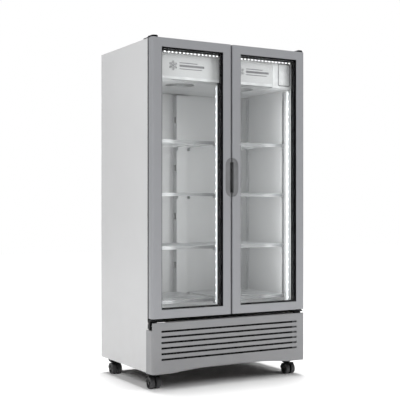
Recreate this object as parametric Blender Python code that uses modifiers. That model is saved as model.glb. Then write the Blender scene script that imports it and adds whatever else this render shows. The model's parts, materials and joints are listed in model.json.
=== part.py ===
"""Glass door merchandiser: a two-door upright drinks cooler on casters, as separate sub-parts.

Metres, +Z up. The origin is on the floor, under the middle of the cabinet. The doors face -Y.
A depth is measured from the doors' front face towards the back, and y() turns it into a Y.
"""

import math

import bmesh
import bpy
from mathutils import Matrix, Vector

# Overall
WIDTH = 1.053
DEPTH = 0.719
TOP = 2.000
CAP_RISE = 0.012
HALF = WIDTH / 2
SHEET = 0.0015
GAP = 0.0005
SIDES = (("left", -1), ("right", 1))

# Cabinet body
BODY_BOTTOM = 0.098
PANEL_OUT = 0.5245
PANEL_FRONT = 0.0622
CORE_OUT = PANEL_OUT - SHEET - GAP
FOAM_BOTTOM = 0.390
FOAM_FRONT = 0.0745
FOAM_BACK = 0.7145
PANEL_TOP_THICK = 0.003
REAR_THICK = 0.004

# Refrigerated space
BAY_OUT = 0.476
BAY_FLOOR = 0.445
BAY_CEILING = 1.945
BAY_BACK = 0.664
LINER = 0.0012

# Trim round the cabinet's mouth, and the post between the doors
TRIM_FRONT = 0.056
TRIM_BACK = 0.074
TRIM_BOTTOM = 0.392
MOUTH_BOTTOM = 0.452
MULLION_HALF = 0.046
MULLION_BACK = 0.0953

# Doors
DOOR_BOTTOM = 0.409
DOOR_HALF_GAP = 0.004
DOOR_THICK = 0.048
DOOR_EDGE_RADIUS = 0.014
DOOR_INNER_RADIUS = 0.010
GLASS_IN = 0.0605
GLASS_OUT = 0.466
GLASS_BOTTOM = 0.459
GLASS_TOP = 1.948
REBATE = 0.008
REBATE_FRONT = 0.009
PANE = 0.004
GLASS_BACK = 0.0295
PIN_X = HALF - 0.018
PIN_DEPTH = 0.022
PIN_RADIUS = 0.005
PIN_HOLE_RADIUS = 0.0055
PIN_LENGTH = 0.026

# Recessed handle, half of it in each door
HANDLE_MIDDLE = 1.2155
HANDLE_HALF_HEIGHT = 0.1145
HANDLE_HALF_WIDTH = 0.042
HANDLE_DEPTH = 0.036
HANDLE_RIM = 0.0015
HANDLE_CROWN = 0.003
FINGER_SLOT_HALF = 0.013
FINGER_SLOT_HALF_HEIGHT = 0.0905
FINGER_SLOT_DEPTH = 0.032

# Kick panel
KICK_BOTTOM = 0.096
KICK_TOP = 0.387
KICK_BACK = 0.077
KICK_NOTCH_BOTTOM = 0.343
KICK_NOTCH_IN = 0.430
ARCH_HALF = 0.405
ARCH_RISE = 0.022
SLOT_TOP = 0.336
SLOT_PITCH = 0.0318
SLOT_HEIGHT = 0.011
SLOT_OUT = 0.468
SLOT_COUNT = 6

# Header, lighting, evaporator
HEADER_FRONT = 0.066
HEADER_BOTTOM = 1.779
HEADER_TOP = 1.930
MODULE_LEFT = 0.330
HOUSING_BOTTOM = 1.776
HOUSING_TOP = 1.925
HOUSING_FRONT = 0.1185
HOUSING_BACK = 0.655
EVAPORATOR_FAN_X = 0.21
EVAPORATOR_FAN_DEPTH = 0.26
EVAPORATOR_FAN_RADIUS = 0.085

# Rear grille
GRILLE_THICK = 0.0025
GRILLE_ROWS = 6
GRILLE_PITCH = 0.036
GRILLE_SLOT = 0.012

# Hinge plates at the doors' corners
HINGE_IN = 0.478
HINGE_OUT = 0.523
HINGE_LEAF_BACK = 0.125
HINGE_CAP_IN = 0.484
HINGE_CAP_FRONT = 0.003
HINGE_SHELF_IN = 0.448
HINGE_SHELF_DROP = 0.007
HINGE_SHELF_THICK = 0.006
HINGE_LEG_FRONT = 0.036

# Shelves and what holds them
SHELF_TOPS = (0.495, 0.8115, 1.125, 1.436)
SHELF_FRONT = 0.135
SHELF_BACK = 0.605
SHELF_IN = 0.0445
SHELF_OUT = 0.466
SHELF_THICK = 0.008
SHELF_RAIL = 0.020
SHELF_SLOTS = 9
STANDARD_TOP = 1.765
STANDARD_BOTTOM = 0.455

# Machine compartment
CHASSIS_FRONT = 0.0645
CHASSIS_BACK = 0.7155
CHASSIS_WALL_TOP = 0.140
CHASSIS_FLOOR = 0.002
FIN_GROOVE = 0.008
CONDENSER_FRONT = 0.090
CONDENSER_BACK = 0.150
CONDENSER_BOTTOM = 0.112
CONDENSER_TOP = 0.364
CONDENSER_HALF = 0.150
SHROUD_BACK = 0.192
INLET_X = -0.426
INLET_Z = 0.159
ELECTRICAL_BACK = 0.7135
CONDENSER_FAN_X = -0.17
CONDENSER_FAN_Z = 0.238
CONDENSER_FAN_DEPTH = 0.205
CONDENSER_FAN_RADIUS = 0.100
COMPRESSOR_X = 0.24
COMPRESSOR_DEPTH = 0.42

# Casters
CASTER_X = 0.470
CASTER_DEPTHS = (("front", 0.117), ("rear", 0.647))
CASTER_PLATE = 0.090
CASTER_PLATE_BOTTOM = 0.094
WHEEL_RADIUS = 0.0325
WHEEL_WIDTH = 0.025
WHEEL_SPACE = 0.013
WHEEL_TRAIL = 0.022
AXLE_RADIUS = 0.004
KINGPIN_RADIUS = 0.0055
KINGPIN_TOP = 0.104
KINGPIN_HOLE_RADIUS = 0.0065

PARTS = bpy.data.collections.new("glass_door_merchandiser")
CUTTERS = bpy.data.collections.new("cutters")


def y(depth):
    """The Y of a point this far behind the doors' front face."""
    return depth - DEPTH / 2


# ---------------------------------------------------------------- helpers


def clear_scene():
    for obj in list(bpy.data.objects):
        bpy.data.objects.remove(obj, do_unlink=True)
    bpy.context.scene.collection.children.link(PARTS)
    bpy.context.scene.collection.children.link(CUTTERS)


def material(name, colour, roughness, metallic=0.0, alpha=1.0):
    made = bpy.data.materials.new(name)
    made.use_nodes = True
    shader = made.node_tree.nodes["Principled BSDF"]
    shader.inputs["Base Color"].default_value = (*colour, 1.0)
    shader.inputs["Roughness"].default_value = roughness
    shader.inputs["Metallic"].default_value = metallic
    shader.inputs["Alpha"].default_value = alpha
    return made


def from_bmesh(name, bm):
    mesh = bpy.data.meshes.new(name)
    bm.to_mesh(mesh)
    bm.free()
    return bpy.data.objects.new(name, mesh)


def box(name, low, high):
    """A box between two corners. A depth is given as the Y of each corner."""
    bm = bmesh.new()
    bmesh.ops.create_cube(bm, size=1.0)
    size = [b - a for a, b in zip(low, high)]
    middle = [(a + b) / 2 for a, b in zip(low, high)]
    bmesh.ops.scale(bm, vec=size, verts=bm.verts)
    bmesh.ops.translate(bm, vec=middle, verts=bm.verts)
    return from_bmesh(name, bm)


def boxes(name, corners):
    """Several boxes that don't touch, as one cutter."""
    bm = bmesh.new()
    for low, high in corners:
        made = bmesh.ops.create_cube(bm, size=1.0)["verts"]
        size = [b - a for a, b in zip(low, high)]
        middle = [(a + b) / 2 for a, b in zip(low, high)]
        bmesh.ops.scale(bm, vec=size, verts=made)
        bmesh.ops.translate(bm, vec=middle, verts=made)
    return from_bmesh(name, bm)


def cylinder(name, start, end, radius, end_radius=None, segments=24):
    """A cylinder or cone from one point to another."""
    start = Vector(start)
    end = Vector(end)
    bm = bmesh.new()
    bmesh.ops.create_cone(
        bm,
        cap_ends=True,
        segments=segments,
        radius1=radius,
        radius2=radius if end_radius is None else end_radius,
        depth=(end - start).length,
    )
    turn = (end - start).to_track_quat("Z", "Y").to_matrix().to_4x4()
    bmesh.ops.transform(bm, matrix=Matrix.Translation((start + end) / 2) @ turn, verts=bm.verts)
    return from_bmesh(name, bm)


def corner_arc(before, corner, after, radius, steps):
    """The points that round one corner of an outline."""
    if radius == 0:
        return [tuple(corner)]
    corner = Vector(corner)
    to_before = (Vector(before) - corner).normalized()
    to_after = (Vector(after) - corner).normalized()
    half = to_before.angle(to_after) / 2
    centre = corner + (to_before + to_after).normalized() * (radius / math.sin(half))
    first = corner + to_before * (radius / math.tan(half)) - centre
    last = corner + to_after * (radius / math.tan(half)) - centre
    turn = first.angle_signed(last)
    return [
        tuple(centre + Matrix.Rotation(-turn * step / steps, 2) @ first) for step in range(steps + 1)
    ]


def rounded(points, radii, steps=4):
    """An outline with each corner rounded by its own radius."""
    outline = []
    for index, corner in enumerate(points):
        before = points[index - 1]
        after = points[(index + 1) % len(points)]
        outline += corner_arc(before, corner, after, radii[index], steps)
    return outline


def stadium(half_width, half_height, steps=8):
    """An upright slot outline with round ends, round its own middle."""
    straight = half_height - half_width
    top = [
        (half_width * math.cos(math.pi * s / steps), straight + half_width * math.sin(math.pi * s / steps))
        for s in range(steps + 1)
    ]
    return top + [(-px, -pz) for px, pz in top]


PLAN = Matrix.Identity(4)
FRONTAL = Matrix.Rotation(math.radians(90), 4, "X")
SIDEWAYS = Matrix(((0, 0, 1, 0), (1, 0, 0, 0), (0, 1, 0, 0), (0, 0, 0, 1)))


def plate(name, outline, thickness, turn, middle):
    """A flat outline with thickness. PLAN reads it as X and Y, FRONTAL as X and Z, SIDEWAYS as Y and Z."""
    curve = bpy.data.curves.new(name, "CURVE")
    curve.dimensions = "2D"
    curve.fill_mode = "BOTH"
    curve.extrude = thickness / 2
    spline = curve.splines.new("POLY")
    spline.points.add(len(outline) - 1)
    for point, (px, py) in zip(spline.points, outline):
        point.co = (px, py, 0, 1)
    spline.use_cyclic_u = True
    drawn = bpy.data.objects.new(name, curve)
    drawn.matrix_world = Matrix.Translation(middle) @ turn
    return as_mesh(drawn)


def as_mesh(drawn):
    """A curve object turned into a mesh object, with its caps welded."""
    name = drawn.name
    PARTS.objects.link(drawn)
    bpy.context.view_layer.update()
    graph = bpy.context.evaluated_depsgraph_get()
    mesh = bpy.data.meshes.new_from_object(drawn.evaluated_get(graph))
    mesh.transform(drawn.matrix_world)
    curve = drawn.data
    bpy.data.objects.remove(drawn)
    bpy.data.curves.remove(curve)
    bm = bmesh.new()
    bm.from_mesh(mesh)
    bmesh.ops.remove_doubles(bm, verts=bm.verts, dist=0.00001)
    bmesh.ops.dissolve_limit(bm, angle_limit=math.radians(0.5), verts=bm.verts, edges=bm.edges)
    bmesh.ops.recalc_face_normals(bm, faces=bm.faces)
    bm.to_mesh(mesh)
    bm.free()
    mesh.name = name
    return bpy.data.objects.new(name, mesh)


def bevel_edges(obj, width, segments, chosen):
    """Rounds the edges whose two ends both pass the test."""
    bm = bmesh.new()
    bm.from_mesh(obj.data)
    sharp = [
        edge
        for edge in bm.edges
        if edge.calc_face_angle(0) > math.radians(20) and all(chosen(v.co) for v in edge.verts)
    ]
    bmesh.ops.bevel(bm, geom=sharp, offset=width, segments=segments, profile=0.5, affect="EDGES")
    bm.to_mesh(obj.data)
    bm.free()


def turned(name, profile, middle, steps=20):
    """A turned shape about an upright axis. The profile runs from top to bottom on its outer side."""
    mesh = bpy.data.meshes.new(name)
    points = [(radius, 0, height) for radius, height in profile]
    mesh.from_pydata(points, [(n, n + 1) for n in range(len(points) - 1)], [])
    obj = bpy.data.objects.new(name, mesh)
    obj.location = middle
    screw = obj.modifiers.new("turn", "SCREW")
    screw.steps = steps
    screw.render_steps = steps
    screw.use_merge_vertices = True
    screw.merge_threshold = 0.0001
    screw.use_smooth_shade = True
    return obj


def combine(obj, other, operation):
    """A Boolean with another object, which becomes a hidden helper."""
    CUTTERS.objects.link(other)
    other.hide_render = True
    other.display_type = "WIRE"
    modifier = obj.modifiers.new(other.name, "BOOLEAN")
    modifier.operation = operation
    modifier.solver = "EXACT"
    modifier.object = other


def cut(obj, *others):
    for other in others:
        combine(obj, other, "DIFFERENCE")
    return obj


def join(obj, *others):
    for other in others:
        combine(obj, other, "UNION")
    return obj


def add(obj, look, smooth=False):
    """Puts a finished sub-part in the object's collection."""
    obj.data.materials.clear()
    obj.data.materials.append(look)
    PARTS.objects.link(obj)
    if smooth:
        obj.data.shade_smooth()
        obj.data.set_sharp_from_angle(angle=math.radians(35))
    return obj


def pivot(name, point):
    """An empty on a joint's axis, which the moving pieces hang from."""
    empty = bpy.data.objects.new(name, None)
    empty.location = point
    empty.empty_display_size = 0.05
    PARTS.objects.link(empty)
    return empty


def hang(empty, *pieces):
    """Hangs pieces on a pivot without moving them."""
    bpy.context.view_layer.update()
    for piece in pieces:
        piece.parent = empty
        piece.matrix_parent_inverse = empty.matrix_world.inverted()


def mirrored(side, low, high):
    """A pair of corners given for the right side, on the side asked for."""
    if side > 0:
        return low, high
    return (-high[0], low[1], low[2]), (-low[0], high[1], high[2])


# ---------------------------------------------------------------- cabinet


def make_side_panels():
    for word, side in SIDES:
        low = (PANEL_OUT - SHEET, y(PANEL_FRONT), BODY_BOTTOM)
        high = (PANEL_OUT, y(DEPTH), TOP)
        panel = box(f"side_panel_{word}", *mirrored(side, low, high))
        bevel_edges(panel, 0.0006, 1, lambda co: co.x * side > PANEL_OUT - GAP)
        add(panel, PANEL_PAINT)


def make_top_panel():
    field = 0.040
    panel = box(
        "top_panel",
        (-CORE_OUT, y(PANEL_FRONT), TOP - PANEL_TOP_THICK),
        (CORE_OUT, y(DEPTH), TOP),
    )
    pressing = box(
        "top_pressing",
        (-CORE_OUT + field, y(PANEL_FRONT + 2 * field), TOP - SHEET),
        (CORE_OUT - field, y(DEPTH - field), TOP + field),
    )
    add(cut(panel, pressing), PANEL_PAINT)


def make_rear_panel():
    swage_width = 0.020
    swage_depth = 0.0025
    panel = box(
        "rear_panel",
        (-CORE_OUT, y(DEPTH - REAR_THICK), TRIM_BOTTOM),
        (CORE_OUT, y(DEPTH), TOP - PANEL_TOP_THICK - GAP),
    )
    grooves = [
        (
            (px - swage_width / 2, y(DEPTH - swage_depth), 0.50),
            (px + swage_width / 2, y(DEPTH + swage_depth), 1.90),
        )
        for px in (-0.40, -0.20, 0.0, 0.20, 0.40)
    ]
    add(cut(panel, boxes("rear_swages", grooves)), GALVANISED)


def make_rear_grille():
    low = BODY_BOTTOM + 0.006
    first_row = 0.135
    columns = ((-0.175, 0.145), (0.155, 0.145), (0.370, 0.045))
    grille = box(
        "rear_grille",
        (-CORE_OUT, y(DEPTH - GRILLE_THICK), low),
        (CORE_OUT, y(DEPTH), FOAM_BOTTOM - GAP),
    )
    before = y(DEPTH - 2 * GRILLE_THICK)
    behind = y(DEPTH + GRILLE_THICK)
    slots = []
    for middle, half in columns:
        for row in range(GRILLE_ROWS):
            pz = first_row + GRILLE_PITCH * row
            slots.append(((middle - half, before, pz), (middle + half, behind, pz + GRILLE_SLOT)))
    window_half = (0.050, 0.035)
    window = (
        (INLET_X - window_half[0], before, INLET_Z - window_half[1]),
        (INLET_X + window_half[0], behind, INLET_Z + window_half[1]),
    )
    add(cut(grille, boxes("rear_slots", slots + [window])), GALVANISED)


def make_foam():
    margin = LINER + GAP
    foam = box(
        "insulation_foam",
        (-CORE_OUT, y(FOAM_FRONT), FOAM_BOTTOM),
        (CORE_OUT, y(FOAM_BACK), TOP - PANEL_TOP_THICK - GAP),
    )
    cavity = box(
        "foam_cavity",
        (-BAY_OUT - margin, y(0.0), BAY_FLOOR - margin),
        (BAY_OUT + margin, y(BAY_BACK + margin), BAY_CEILING + margin),
    )
    add(cut(foam, cavity), FOAM)


def make_liner():
    liner = box(
        "inner_liner",
        (-BAY_OUT - LINER, y(FOAM_FRONT), BAY_FLOOR - LINER),
        (BAY_OUT + LINER, y(BAY_BACK + LINER), BAY_CEILING + LINER),
    )
    inside = box(
        "liner_inside",
        (-BAY_OUT, y(0.0), BAY_FLOOR),
        (BAY_OUT, y(BAY_BACK), BAY_CEILING),
    )
    add(cut(liner, inside), LINER_WHITE)


def make_front_trim():
    trim = box(
        "front_trim",
        (-PANEL_OUT, y(TRIM_FRONT), TRIM_BOTTOM),
        (PANEL_OUT, y(PANEL_FRONT - GAP), TOP - GAP),
    )
    neck = box(
        "trim_neck",
        (-CORE_OUT, y(PANEL_FRONT - 2 * GAP), TRIM_BOTTOM + SHEET),
        (CORE_OUT, y(TRIM_BACK), TOP - PANEL_TOP_THICK - GAP),
    )
    mouth = box(
        "trim_mouth",
        (-BAY_OUT, y(0.0), MOUTH_BOTTOM),
        (BAY_OUT, y(TRIM_BACK + 0.020), BAY_CEILING),
    )
    add(cut(join(trim, neck), mouth), TRIM_BLACK)


def make_mullion():
    post = box(
        "center_mullion",
        (-MULLION_HALF, y(TRIM_FRONT), MOUTH_BOTTOM + GAP),
        (MULLION_HALF, y(MULLION_BACK), BAY_CEILING - GAP),
    )
    bevel_edges(post, 0.003, 2, lambda co: co.y > y(MULLION_BACK - GAP))
    add(post, TRIM_BLACK, smooth=True)


def make_chassis():
    """The tray under the machinery, with a pad at each corner for a caster."""
    tray = box(
        "base_chassis",
        (-CORE_OUT, y(CHASSIS_FRONT), BODY_BOTTOM),
        (CORE_OUT, y(CHASSIS_BACK), CHASSIS_WALL_TOP),
    )
    hollow = box(
        "chassis_hollow",
        (-CORE_OUT + SHEET, y(CHASSIS_FRONT + SHEET), BODY_BOTTOM + CHASSIS_FLOOR),
        (CORE_OUT - SHEET, y(CHASSIS_BACK - SHEET), CHASSIS_WALL_TOP + CHASSIS_FLOOR),
    )
    cut(tray, hollow)
    half = CASTER_PLATE / 2
    pad_top = BODY_BOTTOM + CHASSIS_FLOOR / 2
    for word, depth in CASTER_DEPTHS:
        for place, side in SIDES:
            px = CASTER_X * side
            pad = box(
                f"pad_{word}_{place}",
                (px - half, y(depth) - half, CASTER_PLATE_BOTTOM),
                (px + half, y(depth) + half, pad_top),
            )
            hole = cylinder(
                f"kingpin_hole_{word}_{place}",
                (px, y(depth), CASTER_PLATE_BOTTOM - 0.010),
                (px, y(depth), KINGPIN_TOP + 0.006),
                KINGPIN_HOLE_RADIUS,
                segments=16,
            )
            join(tray, pad)
            cut(tray, hole)
    add(tray, CHASSIS_STEEL)


def kick_outline(inset, back):
    """The kick panel's plan: a wide U with round front corners."""
    out = HALF - inset
    radius = DOOR_EDGE_RADIUS - inset
    points = [(-out, y(back)), (-out, y(inset)), (out, y(inset)), (out, y(back))]
    return rounded(points, (0, radius, radius, 0), 5)


def arch_outline():
    """What is cut from the kick panel's lower edge: a shallow arch between its two feet."""
    low = KICK_BOTTOM - 0.020
    steps = 14
    arch = []
    for step in range(steps + 1):
        across = 2 * step / steps - 1
        arch.append((across * ARCH_HALF, KICK_BOTTOM - GAP + ARCH_RISE * (1 - across**2)))
    return [(-ARCH_HALF, low)] + arch + [(ARCH_HALF, low)]


def make_kick_panel():
    height = KICK_TOP - KICK_BOTTOM
    middle = (0, 0, (KICK_TOP + KICK_BOTTOM) / 2)
    panel = plate("kick_panel", kick_outline(0, KICK_BACK), height, PLAN, middle)
    bevel_edges(panel, 0.004, 2, lambda co: co.z > KICK_TOP - GAP and co.y < y(KICK_BACK - GAP))
    inside_height = height + 0.040
    inside = plate(
        "kick_inside",
        kick_outline(SHEET, KICK_BACK + 0.050),
        inside_height,
        PLAN,
        (0, 0, KICK_TOP - SHEET - inside_height / 2),
    )
    slots = [
        (
            (-SLOT_OUT, y(-0.010), SLOT_TOP - row * SLOT_PITCH - SLOT_HEIGHT / 2),
            (SLOT_OUT, y(0.010), SLOT_TOP - row * SLOT_PITCH + SLOT_HEIGHT / 2),
        )
        for row in range(SLOT_COUNT)
    ]
    arch = plate("kick_arch", arch_outline(), 0.040, FRONTAL, (0, y(0.0), 0))
    flange_back = box(
        "kick_flange_back",
        (-WIDTH, y(0.050), KICK_NOTCH_BOTTOM),
        (WIDTH, y(KICK_BACK + 0.020), KICK_TOP + 0.020),
    )
    cut(panel, inside, boxes("kick_slots", slots), arch, flange_back)
    for word, side in SIDES:
        low = (KICK_NOTCH_IN, y(0.0065), KICK_NOTCH_BOTTOM)
        high = (WIDTH, y(0.060), KICK_TOP + 0.020)
        cut(panel, box(f"kick_notch_{word}", *mirrored(side, low, high)))
    add(panel, FRAME_PAINT, smooth=True)


# ---------------------------------------------------------------- header, lighting, cold side


def make_header():
    spans = (("left", -BAY_OUT + GAP, -MULLION_HALF - GAP), ("right", MULLION_HALF + GAP, MODULE_LEFT - GAP))
    lip = 0.015
    front = y(HEADER_FRONT)
    for word, start, end in spans:
        profile = [
            (front - SHEET, HEADER_BOTTOM),
            (y(HOUSING_FRONT - GAP), HEADER_BOTTOM),
            (y(HOUSING_FRONT - GAP), HEADER_BOTTOM + SHEET),
            (front + SHEET, HEADER_BOTTOM + SHEET),
            (front + SHEET, HEADER_TOP),
            (front, HEADER_TOP),
            (front, HEADER_BOTTOM + lip),
            (front - SHEET, HEADER_BOTTOM + lip - SHEET),
        ]
        panel = plate(f"header_panel_{word}", profile, end - start, SIDEWAYS, ((start + end) / 2, 0, 0))
        add(panel, LINER_WHITE)


def module_outline(inset):
    """The rounded outline of the display's frame on the controller, taken in by an inset."""
    left, right, low, high = 0.373 + inset, 0.461 - inset, 1.789 + inset, 1.926 - inset
    corners = [(left, low), (right, low), (right, high), (left, high)]
    return rounded(corners, (0.010 - inset,) * 4)


def make_controller():
    drop = 0.006
    groove_width = 0.003
    groove_depth = 0.002
    front = HEADER_FRONT - groove_depth
    module = box(
        "controller_module",
        (MODULE_LEFT, y(front), HEADER_BOTTOM - drop),
        (BAY_OUT - GAP, y(0.112), HEADER_TOP),
    )
    bevel_edges(module, 0.004, 2, lambda co: co.y < y(front + GAP))
    groove = plate("bezel_groove", module_outline(0), 2 * groove_depth, FRONTAL, (0, y(front), 0))
    island = plate(
        "bezel_island",
        module_outline(groove_width),
        2 * groove_depth,
        FRONTAL,
        (0, y(front + groove_depth + GAP), 0),
    )
    add(join(cut(module, groove), island), PLASTIC_WHITE)


def make_led_bars():
    top = STANDARD_TOP + 0.004
    low = MOUTH_BOTTOM + 0.006
    for word, side in SIDES:
        bar = box(
            f"led_bar_{word}",
            *mirrored(side, (BAY_OUT - 0.0165, y(0.085), low), (BAY_OUT - GAP, y(0.110), top)),
        )
        bevel_edges(bar, 0.004, 2, lambda co: abs(co.x) < BAY_OUT - 0.016)
        add(bar, LED_COVER)
    middle = box("led_bar_center", (-0.050, y(MULLION_BACK + GAP), low), (0.050, y(0.118), top))
    bevel_edges(middle, 0.006, 2, lambda co: co.y > y(0.1175))
    add(middle, LED_COVER)


def make_evaporator_housing():
    out = BAY_OUT - 0.002
    housing = box(
        "evaporator_housing",
        (-out, y(HOUSING_FRONT), HOUSING_BOTTOM),
        (out, y(HOUSING_BACK), HOUSING_TOP),
    )
    inside = box(
        "housing_inside",
        (-out + SHEET, y(HOUSING_FRONT + SHEET), HOUSING_BOTTOM + SHEET),
        (out - SHEET, y(HOUSING_BACK + 0.010), HOUSING_TOP + 0.010),
    )
    cut(housing, inside)
    for word, side in SIDES:
        centre = (EVAPORATOR_FAN_X * side, y(EVAPORATOR_FAN_DEPTH))
        hole = cylinder(
            f"fan_hole_{word}",
            (*centre, HOUSING_BOTTOM - 0.010),
            (*centre, HOUSING_BOTTOM + 0.010),
            EVAPORATOR_FAN_RADIUS + 0.003,
            segments=32,
        )
        cut(housing, hole)
    add(housing, LINER_WHITE)


def finned_block(name, low, high, fins, fin):
    """A coil: an end-plated block whose front and back are grooved between its fins."""
    block = box(name, low, high)
    pitch = (high[0] - low[0]) / fins
    plate_edge = 0.006
    bottom = low[2] + plate_edge
    top = high[2] - plate_edge
    slots = []
    for index in range(fins):
        start = low[0] + index * pitch + fin
        end = low[0] + (index + 1) * pitch - fin
        for face in (low[1], high[1]):
            slots.append(((start, face - FIN_GROOVE, bottom), (end, face + FIN_GROOVE, top)))
    return cut(block, boxes(f"{name}_slots", slots))


def make_evaporator_coil():
    low = (-0.420, y(0.430), HOUSING_BOTTOM + 0.008)
    high = (0.420, y(0.560), HOUSING_TOP - 0.006)
    add(finned_block("evaporator_coil", low, high, 14, 0.004), ALUMINIUM)


def make_rear_duct():
    half = 0.040
    front = 0.618
    profile = [
        (-half, y(BAY_BACK - GAP)),
        (-half, y(front)),
        (half, y(front)),
        (half, y(BAY_BACK - GAP)),
        (half - SHEET, y(BAY_BACK - GAP)),
        (half - SHEET, y(front + SHEET)),
        (-half + SHEET, y(front + SHEET)),
        (-half + SHEET, y(BAY_BACK - GAP)),
    ]
    height = STANDARD_TOP - STANDARD_BOTTOM
    duct = plate("rear_duct", profile, height, PLAN, (0, 0, (STANDARD_TOP + STANDARD_BOTTOM) / 2))
    outlets = [
        ((-2 * half, y(0.630), level + 0.150), (2 * half, y(0.650), level + 0.190)) for level in SHELF_TOPS
    ]
    add(cut(duct, boxes("duct_outlets", outlets)), LINER_WHITE)


def make_standards():
    """The upright shelf standards on the side walls, each a shallow channel."""
    width = 0.020
    rise = 0.006
    height = STANDARD_TOP - STANDARD_BOTTOM
    for word, side in SIDES:
        for place, depth in (("front", 0.140), ("rear", 0.560)):
            wall = side * (BAY_OUT - GAP)
            face = side * (BAY_OUT - GAP - rise)
            back = side * (BAY_OUT - GAP - rise + SHEET)
            profile = [
                (wall, y(depth)),
                (face, y(depth)),
                (face, y(depth + width)),
                (wall, y(depth + width)),
                (wall, y(depth + width - SHEET)),
                (back, y(depth + width - SHEET)),
                (back, y(depth + SHEET)),
                (wall, y(depth + SHEET)),
            ]
            middle = (0, 0, (STANDARD_TOP + STANDARD_BOTTOM) / 2)
            add(plate(f"shelf_standard_{word}_{place}", profile, height, PLAN, middle), ALUMINIUM)


def make_shelves():
    length = SHELF_OUT - SHELF_IN
    pitch = (length - 0.016) / SHELF_SLOTS
    for word, side in SIDES:
        for number, top in enumerate(SHELF_TOPS, 1):
            profile = [
                (y(SHELF_FRONT), top),
                (y(SHELF_FRONT), top - SHELF_RAIL),
                (y(SHELF_FRONT) + 0.005, top - SHELF_RAIL),
                (y(SHELF_FRONT) + 0.005, top - SHELF_THICK),
                (y(SHELF_BACK), top - SHELF_THICK),
                (y(SHELF_BACK), top),
            ]
            middle = side * (SHELF_OUT + SHELF_IN) / 2
            shelf = plate(f"shelf_{word}_{number}", profile, length, SIDEWAYS, (middle, 0, 0))
            start = middle - length / 2 + 0.008
            slots = [
                (
                    (start + pitch * n + 0.003, y(SHELF_FRONT + 0.015), top - SHELF_RAIL),
                    (start + pitch * (n + 1) - 0.003, y(SHELF_BACK - 0.010), top + SHELF_RAIL),
                )
                for n in range(SHELF_SLOTS)
            ]
            add(cut(shelf, boxes(f"shelf_slots_{word}_{number}", slots)), SHELF_GREY)


def fan(name, centre, axis, radius, hub_radius, hub_length, blades):
    """An axial fan wheel: a hub with pitched blades, turning about its axis."""
    axis = Vector(axis)
    half = axis * hub_length / 2
    wheel = cylinder(name, -half, half, hub_radius, segments=16)
    reach = radius - hub_radius + 0.004
    for number in range(blades):
        blade = box(
            f"{name}_blade_{number}",
            (hub_radius - 0.004, -hub_radius * 0.62, -0.001),
            (hub_radius - 0.004 + reach, hub_radius * 0.62, 0.001),
        )
        pitch = Matrix.Rotation(math.radians(24), 4, "X")
        around = Matrix.Rotation(2 * math.pi * number / blades, 4, "Z")
        stand = axis.to_track_quat("Z", "Y").to_matrix().to_4x4()
        blade.data.transform(stand @ around @ pitch)
        blade.location = centre
        join(wheel, blade)
    wheel.location = centre
    return add(wheel, PLASTIC_BLACK)


def make_evaporator_fans():
    for word, side in SIDES:
        centre = (EVAPORATOR_FAN_X * side, y(EVAPORATOR_FAN_DEPTH), HOUSING_BOTTOM + 0.022)
        fan(f"evaporator_fan_{word}", centre, (0, 0, 1), EVAPORATOR_FAN_RADIUS, 0.030, 0.030, 5)


# ---------------------------------------------------------------- machine compartment


def make_condenser():
    low = (CONDENSER_FAN_X - CONDENSER_HALF, y(CONDENSER_FRONT), CONDENSER_BOTTOM)
    high = (CONDENSER_FAN_X + CONDENSER_HALF, y(CONDENSER_BACK), CONDENSER_TOP)
    add(finned_block("condenser_coil", low, high, 12, 0.003), CONDENSER_BLACK)


def make_fan_shroud():
    half = CONDENSER_HALF - 0.002
    front = CONDENSER_BACK + GAP
    shroud = box(
        "condenser_fan_shroud",
        (CONDENSER_FAN_X - half, y(front), CONDENSER_BOTTOM),
        (CONDENSER_FAN_X + half, y(SHROUD_BACK), CONDENSER_TOP),
    )
    hollow = box(
        "shroud_hollow",
        (CONDENSER_FAN_X - half + SHEET, y(front - 0.010), CONDENSER_BOTTOM + SHEET),
        (CONDENSER_FAN_X + half - SHEET, y(SHROUD_BACK - SHEET), CONDENSER_TOP - SHEET),
    )
    hole = cylinder(
        "shroud_hole",
        (CONDENSER_FAN_X, y(SHROUD_BACK - 0.010), CONDENSER_FAN_Z),
        (CONDENSER_FAN_X, y(SHROUD_BACK + 0.010), CONDENSER_FAN_Z),
        CONDENSER_FAN_RADIUS + 0.004,
        segments=32,
    )
    add(cut(shroud, hollow, hole), GALVANISED)


def make_condenser_fan():
    centre = (CONDENSER_FAN_X, y(CONDENSER_FAN_DEPTH), CONDENSER_FAN_Z)
    fan("condenser_fan", centre, (0, 1, 0), CONDENSER_FAN_RADIUS, 0.032, 0.030, 5)


def make_compressor():
    """A hermetic compressor: a domed can with a weld seam, on a foot plate, with its terminal box."""
    base = 0.108
    height = 0.165
    radius = 0.080
    crown = 0.045
    steps = 4
    dome = [
        (
            radius * math.sin(math.pi / 2 * step / steps),
            height - crown + crown * math.cos(math.pi / 2 * step / steps),
        )
        for step in range(steps + 1)
    ]
    seam = [(radius, 0.098), (radius + 0.005, 0.096), (radius + 0.005, 0.088), (radius, 0.086)]
    bottom = [(radius, 0.030), (radius * 0.93, 0.010), (radius * 0.8, 0.0), (0, 0)]
    middle = (COMPRESSOR_X, y(COMPRESSOR_DEPTH), base)
    can = turned("compressor", dome + seam + bottom, middle)
    foot = box(
        "compressor_foot",
        (COMPRESSOR_X - 0.105, y(COMPRESSOR_DEPTH) - 0.070, base - 0.004),
        (COMPRESSOR_X + 0.105, y(COMPRESSOR_DEPTH) + 0.070, base + 0.001),
    )
    terminals = box(
        "compressor_terminals",
        (COMPRESSOR_X + 0.060, y(COMPRESSOR_DEPTH) - 0.030, base + 0.020),
        (COMPRESSOR_X + 0.110, y(COMPRESSOR_DEPTH) + 0.030, base + 0.080),
    )
    add(join(can, foot, terminals), COMPRESSOR_BLACK)


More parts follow.
